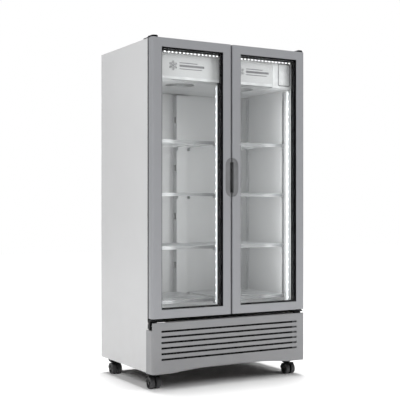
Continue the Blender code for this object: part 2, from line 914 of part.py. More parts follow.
def make_electrical_box():
    """The relay and terminal box, with a recessed three-pin appliance inlet in its back."""
    inlet_half = (0.014, 0.011)
    inlet_depth = 0.015
    pin_pitch = 0.0085
    pin_half = (0.001, 0.003)
    housing = box("electrical_box", (-0.500, y(0.600), 0.1065), (-0.350, y(ELECTRICAL_BACK), 0.215))
    recess = box(
        "inlet_recess",
        (INLET_X - inlet_half[0], y(ELECTRICAL_BACK - inlet_depth), INLET_Z - inlet_half[1]),
        (INLET_X + inlet_half[0], y(ELECTRICAL_BACK + 0.010), INLET_Z + inlet_half[1]),
    )
    cut(housing, recess)
    for number, (across, up) in enumerate(((-1, -0.0005), (0, 0.0035), (1, -0.0005))):
        px = INLET_X + across * pin_pitch
        pz = INLET_Z + up
        pin = box(
            f"inlet_pin_{number}",
            (px - pin_half[0], y(ELECTRICAL_BACK - inlet_depth - 0.005), pz - pin_half[1]),
            (px + pin_half[0], y(ELECTRICAL_BACK - 0.003), pz + pin_half[1]),
        )
        join(housing, pin)
    add(housing, PLASTIC_BLACK)


def catmull(points, steps):
    """A smooth run of points through the given ones."""
    padded = [points[0], *points, points[-1]]
    run = []
    for a, b, c, d in zip(padded, padded[1:], padded[2:], padded[3:]):
        for step in range(steps):
            t = step / steps
            run.append(
                0.5
                * (2 * b + (c - a) * t + (2 * a - 5 * b + 4 * c - d) * t**2 + (3 * b - a - 3 * c + d) * t**3)
            )
    return run + [points[-1]]


def make_refrigerant_line():
    """The discharge line: out of the compressor's side, up, across and down to the condenser's end plate."""
    compressor_side = COMPRESSOR_X - 0.0825
    route = [
        Vector((compressor_side, y(COMPRESSOR_DEPTH), 0.240)),
        Vector((compressor_side - 0.030, y(COMPRESSOR_DEPTH), 0.242)),
        Vector((compressor_side - 0.060, y(COMPRESSOR_DEPTH - 0.015), 0.290)),
        Vector((compressor_side - 0.065, y(COMPRESSOR_DEPTH - 0.080), 0.330)),
        Vector((0.080, y(0.240), 0.332)),
        Vector((0.060, y(0.160), 0.328)),
        Vector((0.030, y(0.122), 0.322)),
        Vector((CONDENSER_FAN_X + 0.1505, y(0.120), 0.320)),
    ]
    curve = bpy.data.curves.new("refrigerant_line", "CURVE")
    curve.dimensions = "3D"
    curve.bevel_depth = 0.004
    curve.bevel_resolution = 2
    curve.use_fill_caps = True
    points = catmull(route, 4)
    spline = curve.splines.new("POLY")
    spline.points.add(len(points) - 1)
    for point, place in zip(spline.points, points):
        point.co = (*place, 1)
    add(as_mesh(bpy.data.objects.new("refrigerant_line", curve)), COPPER, smooth=True)


# ---------------------------------------------------------------- hinges and doors


def make_top_hinges():
    """A plate on the roof, a cap over the door's corner, and the pin that goes down into the door."""
    low = TOP + GAP
    leaf_top = TOP + 0.005
    cap_top = TOP + CAP_RISE
    cap_back = PANEL_FRONT + 0.002
    for word, side in SIDES:
        leaf_corners = [
            (HINGE_IN, y(PANEL_FRONT)),
            (HINGE_OUT, y(PANEL_FRONT)),
            (HINGE_OUT, y(HINGE_LEAF_BACK)),
            (HINGE_IN, y(HINGE_LEAF_BACK)),
        ]
        outline = rounded([(px * side, py) for px, py in leaf_corners], (0, 0, 0.008, 0.008), 3)
        leaf = plate(f"hinge_leaf_{word}", outline, leaf_top - low, PLAN, (0, 0, (leaf_top + low) / 2))
        cap_corners = [
            (HINGE_CAP_IN, y(HINGE_CAP_FRONT)),
            (HINGE_OUT, y(HINGE_CAP_FRONT)),
            (HINGE_OUT, y(cap_back)),
            (HINGE_CAP_IN, y(cap_back)),
        ]
        outline = rounded([(px * side, py) for px, py in cap_corners], (0.012, 0.018, 0.002, 0.002), 4)
        cap = plate(f"hinge_top_{word}", outline, cap_top - low, PLAN, (0, 0, (cap_top + low) / 2))
        bevel_edges(cap, 0.006, 3, lambda co: co.z > cap_top - GAP)
        place = (PIN_X * side, y(PIN_DEPTH))
        start = (*place, TOP - PIN_LENGTH)
        pin = cylinder(f"pin_top_{word}", start, (*place, low + 0.004), PIN_RADIUS, segments=16)
        add(join(cap, leaf, pin), TRIM_BLACK)


def make_bottom_hinges():
    """A bracket on the cabinet's front, its shelf under the door, a washer, and the pin up into the door."""
    shelf_top = DOOR_BOTTOM - HINGE_SHELF_DROP
    shelf_low = shelf_top - HINGE_SHELF_THICK
    overlap = 0.001
    back = TRIM_FRONT - GAP
    for word, side in SIDES:
        corners = [
            (HINGE_SHELF_IN, y(0.008)),
            (HINGE_OUT, y(0.008)),
            (HINGE_OUT, y(back)),
            (HINGE_SHELF_IN, y(back)),
        ]
        outline = rounded([(px * side, py) for px, py in corners], (0.010, 0.010, 0, 0), 3)
        name = f"hinge_bottom_{word}"
        middle = (0, 0, (shelf_top + shelf_low) / 2)
        bracket = plate(name, outline, shelf_top - shelf_low, PLAN, middle)
        leg_low = (HINGE_IN, y(HINGE_LEG_FRONT), KICK_NOTCH_BOTTOM + 0.002)
        leg_high = (HINGE_OUT - 0.0002, y(back - 0.0002), shelf_low + overlap)
        leg = box(f"hinge_leg_{word}", *mirrored(side, leg_low, leg_high))
        place = (PIN_X * side, y(PIN_DEPTH))
        washer_low = (*place, shelf_top - overlap)
        washer = cylinder(f"washer_{word}", washer_low, (*place, DOOR_BOTTOM - GAP), 0.010, segments=20)
        pin_top = (*place, DOOR_BOTTOM + PIN_LENGTH)
        pin = cylinder(f"pin_bottom_{word}", (*place, shelf_low + overlap), pin_top, PIN_RADIUS, segments=16)
        add(join(bracket, leg, washer, pin), TRIM_BLACK)


def door_outline(side):
    points = [
        (DOOR_HALF_GAP, y(DOOR_THICK)),
        (DOOR_HALF_GAP, y(0)),
        (HALF, y(0)),
        (HALF, y(DOOR_THICK)),
    ]
    radii = (0.003, DOOR_INNER_RADIUS, DOOR_EDGE_RADIUS, 0.003)
    return rounded([(px * side, py) for px, py in points], radii, 4)


def ring(name, side, inner, outer, front, back):
    """An upright rectangular ring. inner and outer are (x from, x to, z from, z to) for the right door."""
    low = (outer[0], y(front), outer[2])
    high = (outer[1], y(back), outer[3])
    hole_low = (inner[0], y(front - 0.010), inner[2])
    hole_high = (inner[1], y(back + 0.010), inner[3])
    body = box(name, *mirrored(side, low, high))
    return cut(body, box(f"{name}_hole", *mirrored(side, hole_low, hole_high)))


def make_door_frame(word, side):
    height = TOP - DOOR_BOTTOM
    frame = plate(f"door_frame_{word}", door_outline(side), height, PLAN, (0, 0, (TOP + DOOR_BOTTOM) / 2))
    bevel_edges(frame, 0.002, 2, lambda co: co.z > TOP - GAP)
    bevel_edges(frame, 0.002, 2, lambda co: co.z < DOOR_BOTTOM + GAP)
    low = (GLASS_IN, y(-0.010), GLASS_BOTTOM)
    high = (GLASS_OUT, y(DOOR_THICK + 0.010), GLASS_TOP)
    opening = box(f"glass_opening_{word}", *mirrored(side, low, high))
    low = (GLASS_IN - REBATE, y(REBATE_FRONT), GLASS_BOTTOM - REBATE)
    high = (GLASS_OUT + REBATE, y(DOOR_THICK + 0.020), GLASS_TOP + REBATE)
    rebate = box(f"glass_rebate_{word}", *mirrored(side, low, high))
    pocket_depth = HANDLE_DEPTH + GAP + 0.010
    reach = HANDLE_RIM + GAP
    pocket = plate(
        f"handle_pocket_{word}",
        stadium(HANDLE_HALF_WIDTH + reach, HANDLE_HALF_HEIGHT + reach),
        pocket_depth,
        FRONTAL,
        (0, y(pocket_depth / 2 - 0.010), HANDLE_MIDDLE),
    )
    cut(frame, opening, rebate, pocket)
    for place, start, end in (
        ("top", TOP - PIN_LENGTH - 0.004, TOP + 0.010),
        ("bottom", DOOR_BOTTOM - 0.010, DOOR_BOTTOM + PIN_LENGTH + 0.004),
    ):
        axis = (PIN_X * side, y(PIN_DEPTH))
        name = f"pin_hole_{place}_{word}"
        cut(frame, cylinder(name, (*axis, start), (*axis, end), PIN_HOLE_RADIUS, segments=16))
    return add(frame, FRAME_PAINT, smooth=True)


def make_door_glass(word, side):
    """An insulated glass unit: two panes and the spacer between them, with a breather hole."""
    fit = REBATE - 0.001
    edge = 0.012
    outer = (GLASS_IN - fit, GLASS_OUT + fit, GLASS_BOTTOM - fit, GLASS_TOP + fit)
    low = (outer[0], y(REBATE_FRONT + GAP), outer[2])
    high = (outer[1], y(GLASS_BACK), outer[3])
    unit = box(f"door_glass_{word}", *mirrored(side, low, high))
    low = (outer[0] + edge, y(REBATE_FRONT + GAP + PANE), outer[2] + edge)
    high = (outer[1] - edge, y(GLASS_BACK - PANE), outer[3] - edge)
    cavity = box(f"glass_cavity_{word}", *mirrored(side, low, high))
    middle = (side * (GLASS_IN + GLASS_OUT) / 2, y((REBATE_FRONT + GLASS_BACK) / 2))
    start = (*middle, GLASS_TOP - 2 * edge)
    breather = cylinder(f"breather_{word}", start, (*middle, GLASS_TOP + edge), 0.0015, segments=8)
    return add(cut(unit, cavity, breather), GLASS)


def make_door_gasket(word, side):
    width = 0.028
    outer = (0.012, 0.5045, 0.420, 1.988)
    inner = (outer[0] + width, outer[1] - width, outer[2] + width, outer[3] - width)
    gasket = ring(f"door_gasket_{word}", side, inner, outer, DOOR_THICK + 0.0003, TRIM_FRONT - 0.0003)
    return add(gasket, RUBBER)


def make_door_handle(word, side):
    """Half of the recessed grip: a crowned plate with a deep finger slot beside the door gap."""
    front = 0.0006
    depth = HANDLE_DEPTH - front
    name = f"door_handle_{word}"
    width = HANDLE_HALF_WIDTH + HANDLE_RIM
    height = HANDLE_HALF_HEIGHT + HANDLE_RIM
    shell = plate(name, stadium(width, height), depth, FRONTAL, (0, y(front + depth / 2), HANDLE_MIDDLE))
    bevel_edges(shell, HANDLE_CROWN, 2, lambda co: co.y < y(front + GAP))
    corners = [
        (-FINGER_SLOT_HALF, -FINGER_SLOT_HALF_HEIGHT),
        (FINGER_SLOT_HALF, -FINGER_SLOT_HALF_HEIGHT),
        (FINGER_SLOT_HALF, FINGER_SLOT_HALF_HEIGHT),
        (-FINGER_SLOT_HALF, FINGER_SLOT_HALF_HEIGHT),
    ]
    slot = plate(
        f"handle_slot_{word}",
        rounded(corners, (0.005,) * 4),
        FINGER_SLOT_DEPTH * 2,
        FRONTAL,
        (0, y(0), HANDLE_MIDDLE),
    )
    other_half = box(
        f"handle_other_half_{word}",
        *mirrored(side, (-0.1, y(-0.05), 1.0), (DOOR_HALF_GAP + GAP, y(0.1), 1.5)),
    )
    return add(cut(shell, slot, other_half), HANDLE_GREY, smooth=True)


def make_doors():
    for word, side in SIDES:
        axis = pivot(f"door_axis_{word}", (PIN_X * side, y(PIN_DEPTH), DOOR_BOTTOM))
        hang(
            axis,
            make_door_frame(word, side),
            make_door_glass(word, side),
            make_door_gasket(word, side),
            make_door_handle(word, side),
        )


# ---------------------------------------------------------------- casters


def make_fork(name, px, depth):
    """A swivel fork: a tapered crown under the plate, a kingpin, and a web between the two wheels."""
    top = CASTER_PLATE_BOTTOM - GAP
    axle = (px, y(depth - WHEEL_TRAIL), WHEEL_RADIUS)
    crown = cylinder(name, (px, y(depth), 0.068), (px, y(depth), top), 0.020, 0.036, segments=20)
    web_outline = [
        (y(depth - WHEEL_TRAIL - 0.014), 0.022),
        (y(depth - WHEEL_TRAIL + 0.014), 0.022),
        (y(depth + 0.016), 0.070),
        (y(depth + 0.012), 0.080),
        (y(depth - WHEEL_TRAIL - 0.002), 0.080),
        (y(depth - WHEEL_TRAIL - 0.016), 0.062),
    ]
    web = plate(f"{name}_web", web_outline, WHEEL_SPACE - 0.002, SIDEWAYS, (px, 0, 0))
    kingpin = cylinder(
        f"{name}_kingpin",
        (px, y(depth), top - 0.004),
        (px, y(depth), KINGPIN_TOP),
        KINGPIN_RADIUS,
        segments=16,
    )
    bore = cylinder(
        f"{name}_bore",
        (px - WHEEL_SPACE, *axle[1:]),
        (px + WHEEL_SPACE, *axle[1:]),
        AXLE_RADIUS + GAP,
        segments=16,
    )
    return add(cut(join(crown, web, kingpin), bore), PLASTIC_BLACK, smooth=True)


def make_wheels(name, px, depth):
    """Two wheels on one axle, turning together."""
    centre = Vector((px, y(depth - WHEEL_TRAIL), WHEEL_RADIUS))
    near = WHEEL_SPACE / 2
    far = near + WHEEL_WIDTH
    axle = cylinder(name, (-near - 0.004, 0, 0), (near + 0.004, 0, 0), AXLE_RADIUS, segments=16)
    for word, side in SIDES:
        wheel = cylinder(f"{name}_{word}", (near * side, 0, 0), (far * side, 0, 0), WHEEL_RADIUS, segments=24)
        bevel_edges(wheel, 0.003, 1, lambda co: True)
        wheel.location = centre
        join(axle, wheel)
    axle.location = centre
    return add(axle, RUBBER, smooth=True)


def make_casters():
    for word, depth in CASTER_DEPTHS:
        for place, side in SIDES:
            px = CASTER_X * side
            label = f"{word}_{place}"
            swivel = pivot(f"swivel_axis_{label}", (px, y(depth), CASTER_PLATE_BOTTOM))
            hang(
                swivel,
                make_fork(f"caster_fork_{label}", px, depth),
                make_wheels(f"caster_wheels_{label}", px, depth),
            )


# ---------------------------------------------------------------- looks and the whole

clear_scene()
PANEL_PAINT = material("panel_paint", (0.66, 0.67, 0.68), 0.38)
FRAME_PAINT = material("frame_paint", (0.34, 0.35, 0.37), 0.34, 0.35)
TRIM_BLACK = material("trim_black", (0.012, 0.012, 0.014), 0.35)
LINER_WHITE = material("liner_white", (0.78, 0.79, 0.80), 0.35)
PLASTIC_WHITE = material("plastic_white", (0.80, 0.81, 0.82), 0.40)
LED_COVER = material("led_cover", (0.88, 0.90, 0.92), 0.25)
FOAM = material("foam", (0.82, 0.74, 0.50), 0.90)
GALVANISED = material("galvanised", (0.50, 0.52, 0.53), 0.45, 0.9)
CHASSIS_STEEL = material("chassis_steel", (0.09, 0.09, 0.10), 0.50, 0.3)
ALUMINIUM = material("aluminium", (0.72, 0.73, 0.74), 0.35, 1.0)
SHELF_GREY = material("shelf_grey", (0.62, 0.63, 0.64), 0.40)
CONDENSER_BLACK = material("condenser_black", (0.05, 0.05, 0.05), 0.55, 0.5)
COMPRESSOR_BLACK = material("compressor_black", (0.02, 0.02, 0.02), 0.30)
COPPER = material("copper", (0.72, 0.38, 0.24), 0.30, 1.0)
GLASS = material("glass", (0.90, 0.95, 0.95), 0.03, 0.0, 0.35)
RUBBER = material("rubber", (0.03, 0.03, 0.03), 0.70)
HANDLE_GREY = material("handle_grey", (0.17, 0.17, 0.18), 0.45)
PLASTIC_BLACK = material("plastic_black", (0.02, 0.02, 0.02), 0.45)

make_side_panels()
make_top_panel()
make_rear_panel()
make_rear_grille()
make_foam()
make_liner()
make_front_trim()
make_mullion()
make_chassis()
make_kick_panel()
make_header()
make_controller()
make_led_bars()
make_evaporator_housing()
make_evaporator_coil()
make_evaporator_fans()
make_rear_duct()
make_standards()
make_shelves()
make_condenser()
make_fan_shroud()
make_condenser_fan()
make_compressor()
make_electrical_box()
make_refrigerant_line()
make_top_hinges()
make_bottom_hinges()
make_doors()
make_casters()
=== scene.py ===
"""Looks of the glass door merchandiser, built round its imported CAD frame.

Metres, +Z up. The doors face -Y. A depth is measured from the doors' front face towards the back.
"""

import json
import math

import bmesh
import bpy
from mathutils import Matrix, Vector


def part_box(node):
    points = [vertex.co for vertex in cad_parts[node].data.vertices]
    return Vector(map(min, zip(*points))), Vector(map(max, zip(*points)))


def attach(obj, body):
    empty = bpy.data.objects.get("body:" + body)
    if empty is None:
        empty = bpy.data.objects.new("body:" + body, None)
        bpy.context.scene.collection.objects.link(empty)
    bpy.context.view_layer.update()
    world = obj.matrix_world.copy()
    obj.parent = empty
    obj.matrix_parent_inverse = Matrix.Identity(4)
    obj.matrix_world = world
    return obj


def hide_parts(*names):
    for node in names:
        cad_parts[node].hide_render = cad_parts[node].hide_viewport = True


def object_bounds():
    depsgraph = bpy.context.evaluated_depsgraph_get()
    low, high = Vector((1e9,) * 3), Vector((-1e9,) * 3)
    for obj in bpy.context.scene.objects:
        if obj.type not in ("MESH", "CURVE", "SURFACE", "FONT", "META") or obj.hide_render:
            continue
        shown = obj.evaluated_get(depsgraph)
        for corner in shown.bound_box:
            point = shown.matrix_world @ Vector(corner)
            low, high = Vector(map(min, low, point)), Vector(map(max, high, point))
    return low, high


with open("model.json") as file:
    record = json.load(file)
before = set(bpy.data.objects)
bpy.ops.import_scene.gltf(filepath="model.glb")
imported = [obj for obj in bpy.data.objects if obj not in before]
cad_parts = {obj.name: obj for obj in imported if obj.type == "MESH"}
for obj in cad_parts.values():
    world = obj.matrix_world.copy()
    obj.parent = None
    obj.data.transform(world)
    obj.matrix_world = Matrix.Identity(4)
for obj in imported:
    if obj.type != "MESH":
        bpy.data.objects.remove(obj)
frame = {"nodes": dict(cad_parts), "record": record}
CAD_LOW, CAD_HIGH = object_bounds()

SIDES = (("left", -1), ("right", 1))


def y(depth):
    """The Y of a point this far behind the doors' front face."""
    return CAD_LOW.y + depth


def span(sign, near, far):
    """Two distances from the cabinet's middle on one side of it, as a lower and an upper X."""
    return sorted((sign * near, sign * far))


# ---------------- materials

LOOKS = {}


class Look:
    """One material, kept by name in LOOKS. Its patterns are read from object coordinates in metres."""

    def __init__(self, name, roughness, metallic=0.0):
        self.material = LOOKS[name] = bpy.data.materials.new(name)
        self.material.use_nodes = True
        self.tree = self.material.node_tree
        self.shader = self.tree.nodes["Principled BSDF"]
        self.shader.inputs["Metallic"].default_value = metallic
        self.shader.inputs["Roughness"].default_value = roughness
        self.place = self.tree.nodes.new("ShaderNodeTexCoord").outputs["Object"]

    def node(self, kind, inputs, output=0, **settings):
        """A node whose inputs are set to numbers or fed by sockets. Gives back one of its outputs."""
        made = self.tree.nodes.new(f"ShaderNode{kind}")
        for key, value in settings.items():
            setattr(made, key, value)
        for key, value in inputs.items():
            if isinstance(value, bpy.types.NodeSocket):
                self.tree.links.new(value, made.inputs[key])
            else:
                made.inputs[key].default_value = value
        return made.outputs[output]

    def stretched(self, stretch):
        return self.node("Mapping", {"Vector": self.place, "Scale": stretch})

    def noise(self, scale, detail=2.0, stretch=(1, 1, 1)):
        return self.node("TexNoise", {"Vector": self.stretched(stretch), "Scale": scale, "Detail": detail})

    def cells(self, scale, output="Distance"):
        return self.node("TexVoronoi", {"Vector": self.stretched((1, 1, 1)), "Scale": scale}, output)

    def remap(self, value, low, high, to_low, to_high):
        limits = {"From Min": low, "From Max": high, "To Min": to_low, "To Max": to_high}
        return self.node("MapRange", {"Value": value, **limits})

    def multiply(self, value, other):
        return self.node("Math", {0: value, 1: other}, operation="MULTIPLY")

    def height(self):
        """The Z of each point, for what settles low down."""
        return self.node("SeparateXYZ", {0: self.place}, "Z")

    def blend(self, factor, first, second):
        """A colour between two colours, each a tuple or a socket."""
        first, second = ((*c, 1.0) if isinstance(c, tuple) else c for c in (first, second))
        return self.node("Mix", {"Factor": factor, 6: first, 7: second}, 2, data_type="RGBA")

    def drive(self, name, source):
        self.tree.links.new(source, self.shader.inputs[name])

    def colour(self, source):
        self.drive("Base Color", source)

    def rough(self, source):
        self.drive("Roughness", source)

    def bump(self, height, distance):
        self.drive("Normal", self.node("Bump", {"Strength": 1.0, "Distance": distance, "Height": height}))


def shade(colour, share):
    return tuple(value * share for value in colour)


def paint(name, colour, roughness, peel=0.00004, mottle=0.03, dust=0.0, metallic=0.0, flake=0.0):
    """Coated sheet: soft mottling, a fine orange peel, and dust towards the floor."""
    look = Look(name, roughness, metallic)
    broad = look.remap(look.noise(2.5, 4.0), 0.3, 0.7, 0.0, 1.0)
    made = look.blend(broad, shade(colour, 1 - mottle), shade(colour, 1 + mottle))
    if flake:
        sparkle = look.remap(look.noise(1400, 1.0), 0.35, 0.65, 0.0, 1.0)
        fine = look.blend(sparkle, shade(colour, 1 - flake), shade(colour, 1 + flake))
        made = look.blend(0.5, made, fine)
    if dust:
        settled = look.remap(look.height(), 0.08, 0.55, dust, 0.0)
        patchy = look.multiply(settled, look.remap(look.noise(22, 5.0), 0.3, 0.75, 0.0, 1.0))
        made = look.blend(patchy, made, (0.36, 0.33, 0.29))
    look.colour(made)
    look.rough(look.remap(look.noise(9, 4.0), 0.3, 0.7, roughness - 0.05, roughness + 0.06))
    look.bump(look.noise(420, 2.0), peel)


def moulded(name, colour, roughness, grain=1600, depth=0.00006, dust=0.0, shine=0.5):
    """Moulded plastic with a fine spark-eroded grain and slightly dusty, rubbed patches."""
    look = Look(name, roughness)
    patch = look.remap(look.noise(14, 5.0), 0.35, 0.7, 0.0, 1.0)
    made = look.blend(patch, shade(colour, 0.88), shade(colour, 1.15))
    if dust:
        made = look.blend(look.remap(look.noise(60, 6.0), 0.5, 0.8, 0.0, dust), made, (0.30, 0.28, 0.26))
    look.colour(made)
    look.rough(look.remap(look.noise(25, 3.0), 0.3, 0.7, roughness - 0.07, roughness + 0.08))
    look.bump(look.noise(grain, 2.0), depth)
    look.shader.inputs["Specular IOR Level"].default_value = shine


def metal(name, colour, roughness, brushed=(1, 1, 1), tarnish=(0.3, 0.3, 0.3), share=0.25):
    """Bare metal with a drawn or rolled grain and a patchy tarnish."""
    look = Look(name, roughness, 1.0)
    grain = look.noise(240, 4.0, brushed)
    made = look.blend(look.remap(grain, 0.3, 0.7, 0.0, 1.0), shade(colour, 0.86), shade(colour, 1.08))
    made = look.blend(look.remap(look.noise(18, 5.0), 0.45, 0.8, 0.0, share), made, tarnish)
    look.colour(made)
    look.rough(look.remap(grain, 0.3, 0.7, roughness - 0.06, roughness + 0.1))
    look.bump(grain, 0.00003)


def galvanised():
    """Hot-dip sheet: flat crystals of different greys, some duller than others."""
    look = Look("galvanised", 0.42, 0.6)
    crystal = look.cells(75, "Color")
    tone = look.remap(crystal, 0.0, 1.0, 0.0, 1.0)
    made = look.blend(tone, (0.40, 0.42, 0.44), (0.62, 0.64, 0.66))
    made = look.blend(look.remap(look.noise(7, 5.0), 0.45, 0.75, 0.0, 0.35), made, (0.44, 0.45, 0.45))
    look.colour(made)
    look.rough(look.remap(tone, 0.0, 1.0, 0.34, 0.52))
    look.bump(look.noise(300, 2.0), 0.00004)


def foamed():
    """Rigid foam: closed cells with a paler skin."""
    look = Look("foam", 0.9)
    cell = look.cells(420)
    patch = look.remap(look.noise(12, 5.0), 0.3, 0.7, 0.0, 1.0)
    made = look.blend(patch, (0.74, 0.62, 0.36), (0.86, 0.78, 0.54))
    look.colour(look.blend(look.remap(cell, 0.0, 0.6, 0.0, 0.3), made, (0.55, 0.42, 0.2)))
    look.bump(cell, 0.0006)


def clear_glass():
    """Float glass with faint finger smears. Lamps shine through it."""
    look = Look("glass", 0.0)
    look.shader.inputs["Base Color"].default_value = (0.985, 0.99, 0.988, 1.0)
    look.shader.inputs["Transmission Weight"].default_value = 1.0
    look.shader.inputs["IOR"].default_value = 1.15
    look.shader.inputs["Specular IOR Level"].default_value = 0.10
    look.rough(look.remap(look.noise(6, 5.0, (1, 1, 0.4)), 0.55, 0.8, 0.0, 0.05))


def glowing(name, colour, strength):
    """A lit diffuser with a faint moulded ripple."""
    look = Look(name, 0.3)
    grain = look.noise(300)
    ripple = look.remap(grain, 0.3, 0.7, 0.0, 1.0)
    look.colour(look.blend(ripple, shade(colour, 0.94), colour))
    look.shader.inputs["Emission Color"].default_value = (*colour, 1.0)
    look.shader.inputs["Emission Strength"].default_value = strength
    look.bump(grain, 0.00005)


paint("panel_paint", (0.56, 0.562, 0.566), 0.36, mottle=0.012, dust=0.10)
# The second paint is the frame paint made darker: painted shade on the kick panel near the floor.
for name, colour in (("frame_paint", (0.315, 0.32, 0.335)), ("kick_paint_shaded", (0.265, 0.267, 0.275))):
    paint(name, colour, 0.40, mottle=0.02, metallic=0.2, flake=0.10, dust=0.08)
paint("liner_white", (0.58, 0.585, 0.59), 0.33, mottle=0.015)
paint("chassis_steel", (0.055, 0.055, 0.06), 0.5, mottle=0.12, dust=0.35)
paint("shelf_grey", (0.66, 0.67, 0.68), 0.34, mottle=0.02, peel=0.00006)
paint("shelf_rail", (0.28, 0.285, 0.29), 0.3, mottle=0.01)
paint("condenser_black", (0.03, 0.03, 0.032), 0.5, mottle=0.2, dust=0.4)
paint("compressor_black", (0.014, 0.014, 0.015), 0.24, mottle=0.1, peel=0.0001, dust=0.25)
moulded("trim_black", (0.009, 0.009, 0.010), 0.30, grain=700, depth=0.00002, shine=0.1)
moulded("plastic_white", (0.68, 0.688, 0.696), 0.38, depth=0.00003)
moulded("plastic_black", (0.018, 0.018, 0.019), 0.4, dust=0.12)
moulded("handle_grey", (0.155, 0.157, 0.162), 0.42, grain=2200)
moulded("print_grey", (0.21, 0.21, 0.22), 0.4, grain=1200, depth=0.00001)
moulded("rubber", (0.022, 0.022, 0.023), 0.62, grain=900, depth=0.00008, dust=0.15)
moulded("tyre", (0.060, 0.060, 0.062), 0.55, grain=900, depth=0.00008, dust=0.2)
metal("aluminium", (0.74, 0.75, 0.76), 0.32, brushed=(1, 1, 0.04), tarnish=(0.5, 0.5, 0.5))
metal("copper", (0.82, 0.42, 0.26), 0.28, brushed=(0.2, 0.2, 0.2), tarnish=(0.30, 0.14, 0.08), share=0.5)
metal("steel", (0.60, 0.61, 0.62), 0.34, share=0.3)
glowing("led_cover", (0.95, 0.98, 1.0), 0.14)
glowing("led_lens", (1.0, 1.0, 1.0), 2.4)
galvanised()
foamed()
clear_glass()

# ---------------- carried-over CAD nodes

# The kick panel gets the darker copy of the frame paint, as painted shade.
OWN_LOOKS = {"kick_panel": "kick_paint_shaded"}

SOFT_EDGES = {
    "side_panel_left": 0.0008, "side_panel_right": 0.0008, "top_panel": 0.0008, "kick_panel": 0.0008,
    "header_panel_left": 0.0006, "header_panel_right": 0.0006, "controller_module": 0.0005,
    "center_mullion": 0.0006, "electrical_box": 0.0008, "evaporator_housing": 0.0006,
    "rear_duct": 0.0006, "base_chassis": 0.0006,
}


def soften(solid, width):
    """Breaks the sharp edges of a carried-over node, so that they catch the light."""
    bevel = solid.modifiers.new("soft_edges", "BEVEL")
    bevel.width = width
    bevel.segments = 2
    bevel.limit_method = "ANGLE"
    bevel.angle_limit = math.radians(50)
    bevel.harden_normals = True


for node in frame["record"]["subparts"]:
    solid = frame["nodes"][node["node"]]
    solid.data.materials.clear()
    solid.data.materials.append(LOOKS[OWN_LOOKS.get(node["node"], node["material_slot"])])
    if node["node"] in SOFT_EDGES:
        soften(solid, SOFT_EDGES[node["node"]])


# ---------------- shapes


def at(x, depth, z):
    return Vector((x, y(depth), z))


def spot(plane, first, second, along):
    """A point of a plane's outline, moved along the axis that crosses the plane."""
    if plane == "xz":
        return at(first, along, second)
    if plane == "yz":
        return at(along, first, second)
    return at(first, second, along)


def add_box(bm, low, high, bevel=0.0, segments=2):
    """A box between two corners, each (x, depth, z)."""
    low, high = at(*low), at(*high)
    verts = bmesh.ops.create_cube(bm, size=1.0)["verts"]
    for vert in verts:
        vert.co = Vector(tuple(low[i] + (vert.co[i] + 0.5) * (high[i] - low[i]) for i in range(3)))
    if bevel:
        edges = list({edge for vert in verts for edge in vert.link_edges})
        bmesh.ops.bevel(bm, geom=edges, offset=bevel, segments=segments, affect="EDGES", profile=0.5)


def add_rod(bm, start, end, radius, sides=16, end_radius=None):
    """A capped cylinder or cone from one point to another."""
    axis = end - start
    turn = axis.to_track_quat("Z", "Y").to_matrix().to_4x4()
    tip = radius if end_radius is None else end_radius
    bmesh.ops.create_cone(
        bm, cap_ends=True, segments=sides, radius1=radius, radius2=tip, depth=axis.length,
        matrix=Matrix.Translation((start + end) / 2) @ turn,
    )


def add_tube(bm, path, radius, sides=8, closed=False):
    """A round bar swept along a path without twisting."""
    rings = []
    side = None
    last = len(path) - 1
    for i, point in enumerate(path):
        before = path[i - 1] if i or closed else point
        after = path[(i + 1) % len(path)] if i < last or closed else point
        ahead = (after - before).normalized()
        side = ahead.orthogonal() if side is None else side - ahead * side.dot(ahead)
        side.normalize()
        up = ahead.cross(side)
        angles = [2 * math.pi * k / sides for k in range(sides)]
        spokes = [side * math.cos(a) + up * math.sin(a) for a in angles]
        rings.append([bm.verts.new(point + spoke * radius) for spoke in spokes])
    bridge(bm, rings + rings[:1] if closed else rings)
    if not closed:
        bm.faces.new(rings[0])
        bm.faces.new(rings[-1])


def bridge(bm, rings):
    """Skins neighbouring rings of points. A ring of one point is a tip."""
    for first, second in zip(rings, rings[1:]):
        count = max(len(first), len(second))
        for k in range(count):
            corners = (
                first[k % len(first)], first[(k + 1) % len(first)],
                second[(k + 1) % len(second)], second[k % len(second)],
            )
            unique = list(dict.fromkeys(corners))
            if len(unique) > 2:
                bm.faces.new(unique)


def rounded(path, radius, steps=4):
    """The path with its corners turned instead of sharp."""
    turned = [path[0]]
    for before, corner, after in zip(path, path[1:], path[2:]):
        start = corner + (before - corner).normalized() * radius
        end = corner + (after - corner).normalized() * radius
        for step in range(steps + 1):
            t = step / steps
            turned.append(start * (1 - t) ** 2 + corner * (2 * t * (1 - t)) + end * t**2)
    turned.append(path[-1])
    return turned


def add_lathe(bm, profile, place, axis, sides=32, closed=False):
    """Turns (radius, along) points about an axis. Radius 0 is a tip. Closed joins last to first."""
    turn = axis.to_track_quat("Z", "Y")
    rings = []
    for radius, along in profile:
        angles = [2 * math.pi * k / sides for k in range(sides if radius else 1)]
        points = [Vector((radius * math.cos(a), radius * math.sin(a), along)) for a in angles]
        rings.append([bm.verts.new(place + turn @ point) for point in points])
    bridge(bm, rings + rings[:1] if closed else rings)


def add_prism(bm, plane, outline, start, end):
    """An outline in a plane, made solid from start to end across it."""
    rings = [[bm.verts.new(spot(plane, a, b, c)) for a, b in outline] for c in (start, end)]
    bridge(bm, rings)
    bm.faces.new(rings[0])
    bm.faces.new(rings[1])


def add_frame(bm, section, low, high):
    """A section of (inward, depth) points swept round an upright rectangle with mitred corners."""
    corners = (
        (low[0], low[1], 1, 1), (high[0], low[1], -1, 1),
        (high[0], high[1], -1, -1), (low[0], high[1], 1, -1),
    )
    rings = [
        [bm.verts.new(at(x + right * inward, depth, z + up * inward)) for inward, depth in section]
        for x, z, right, up in corners
    ]
    bridge(bm, rings + rings[:1])


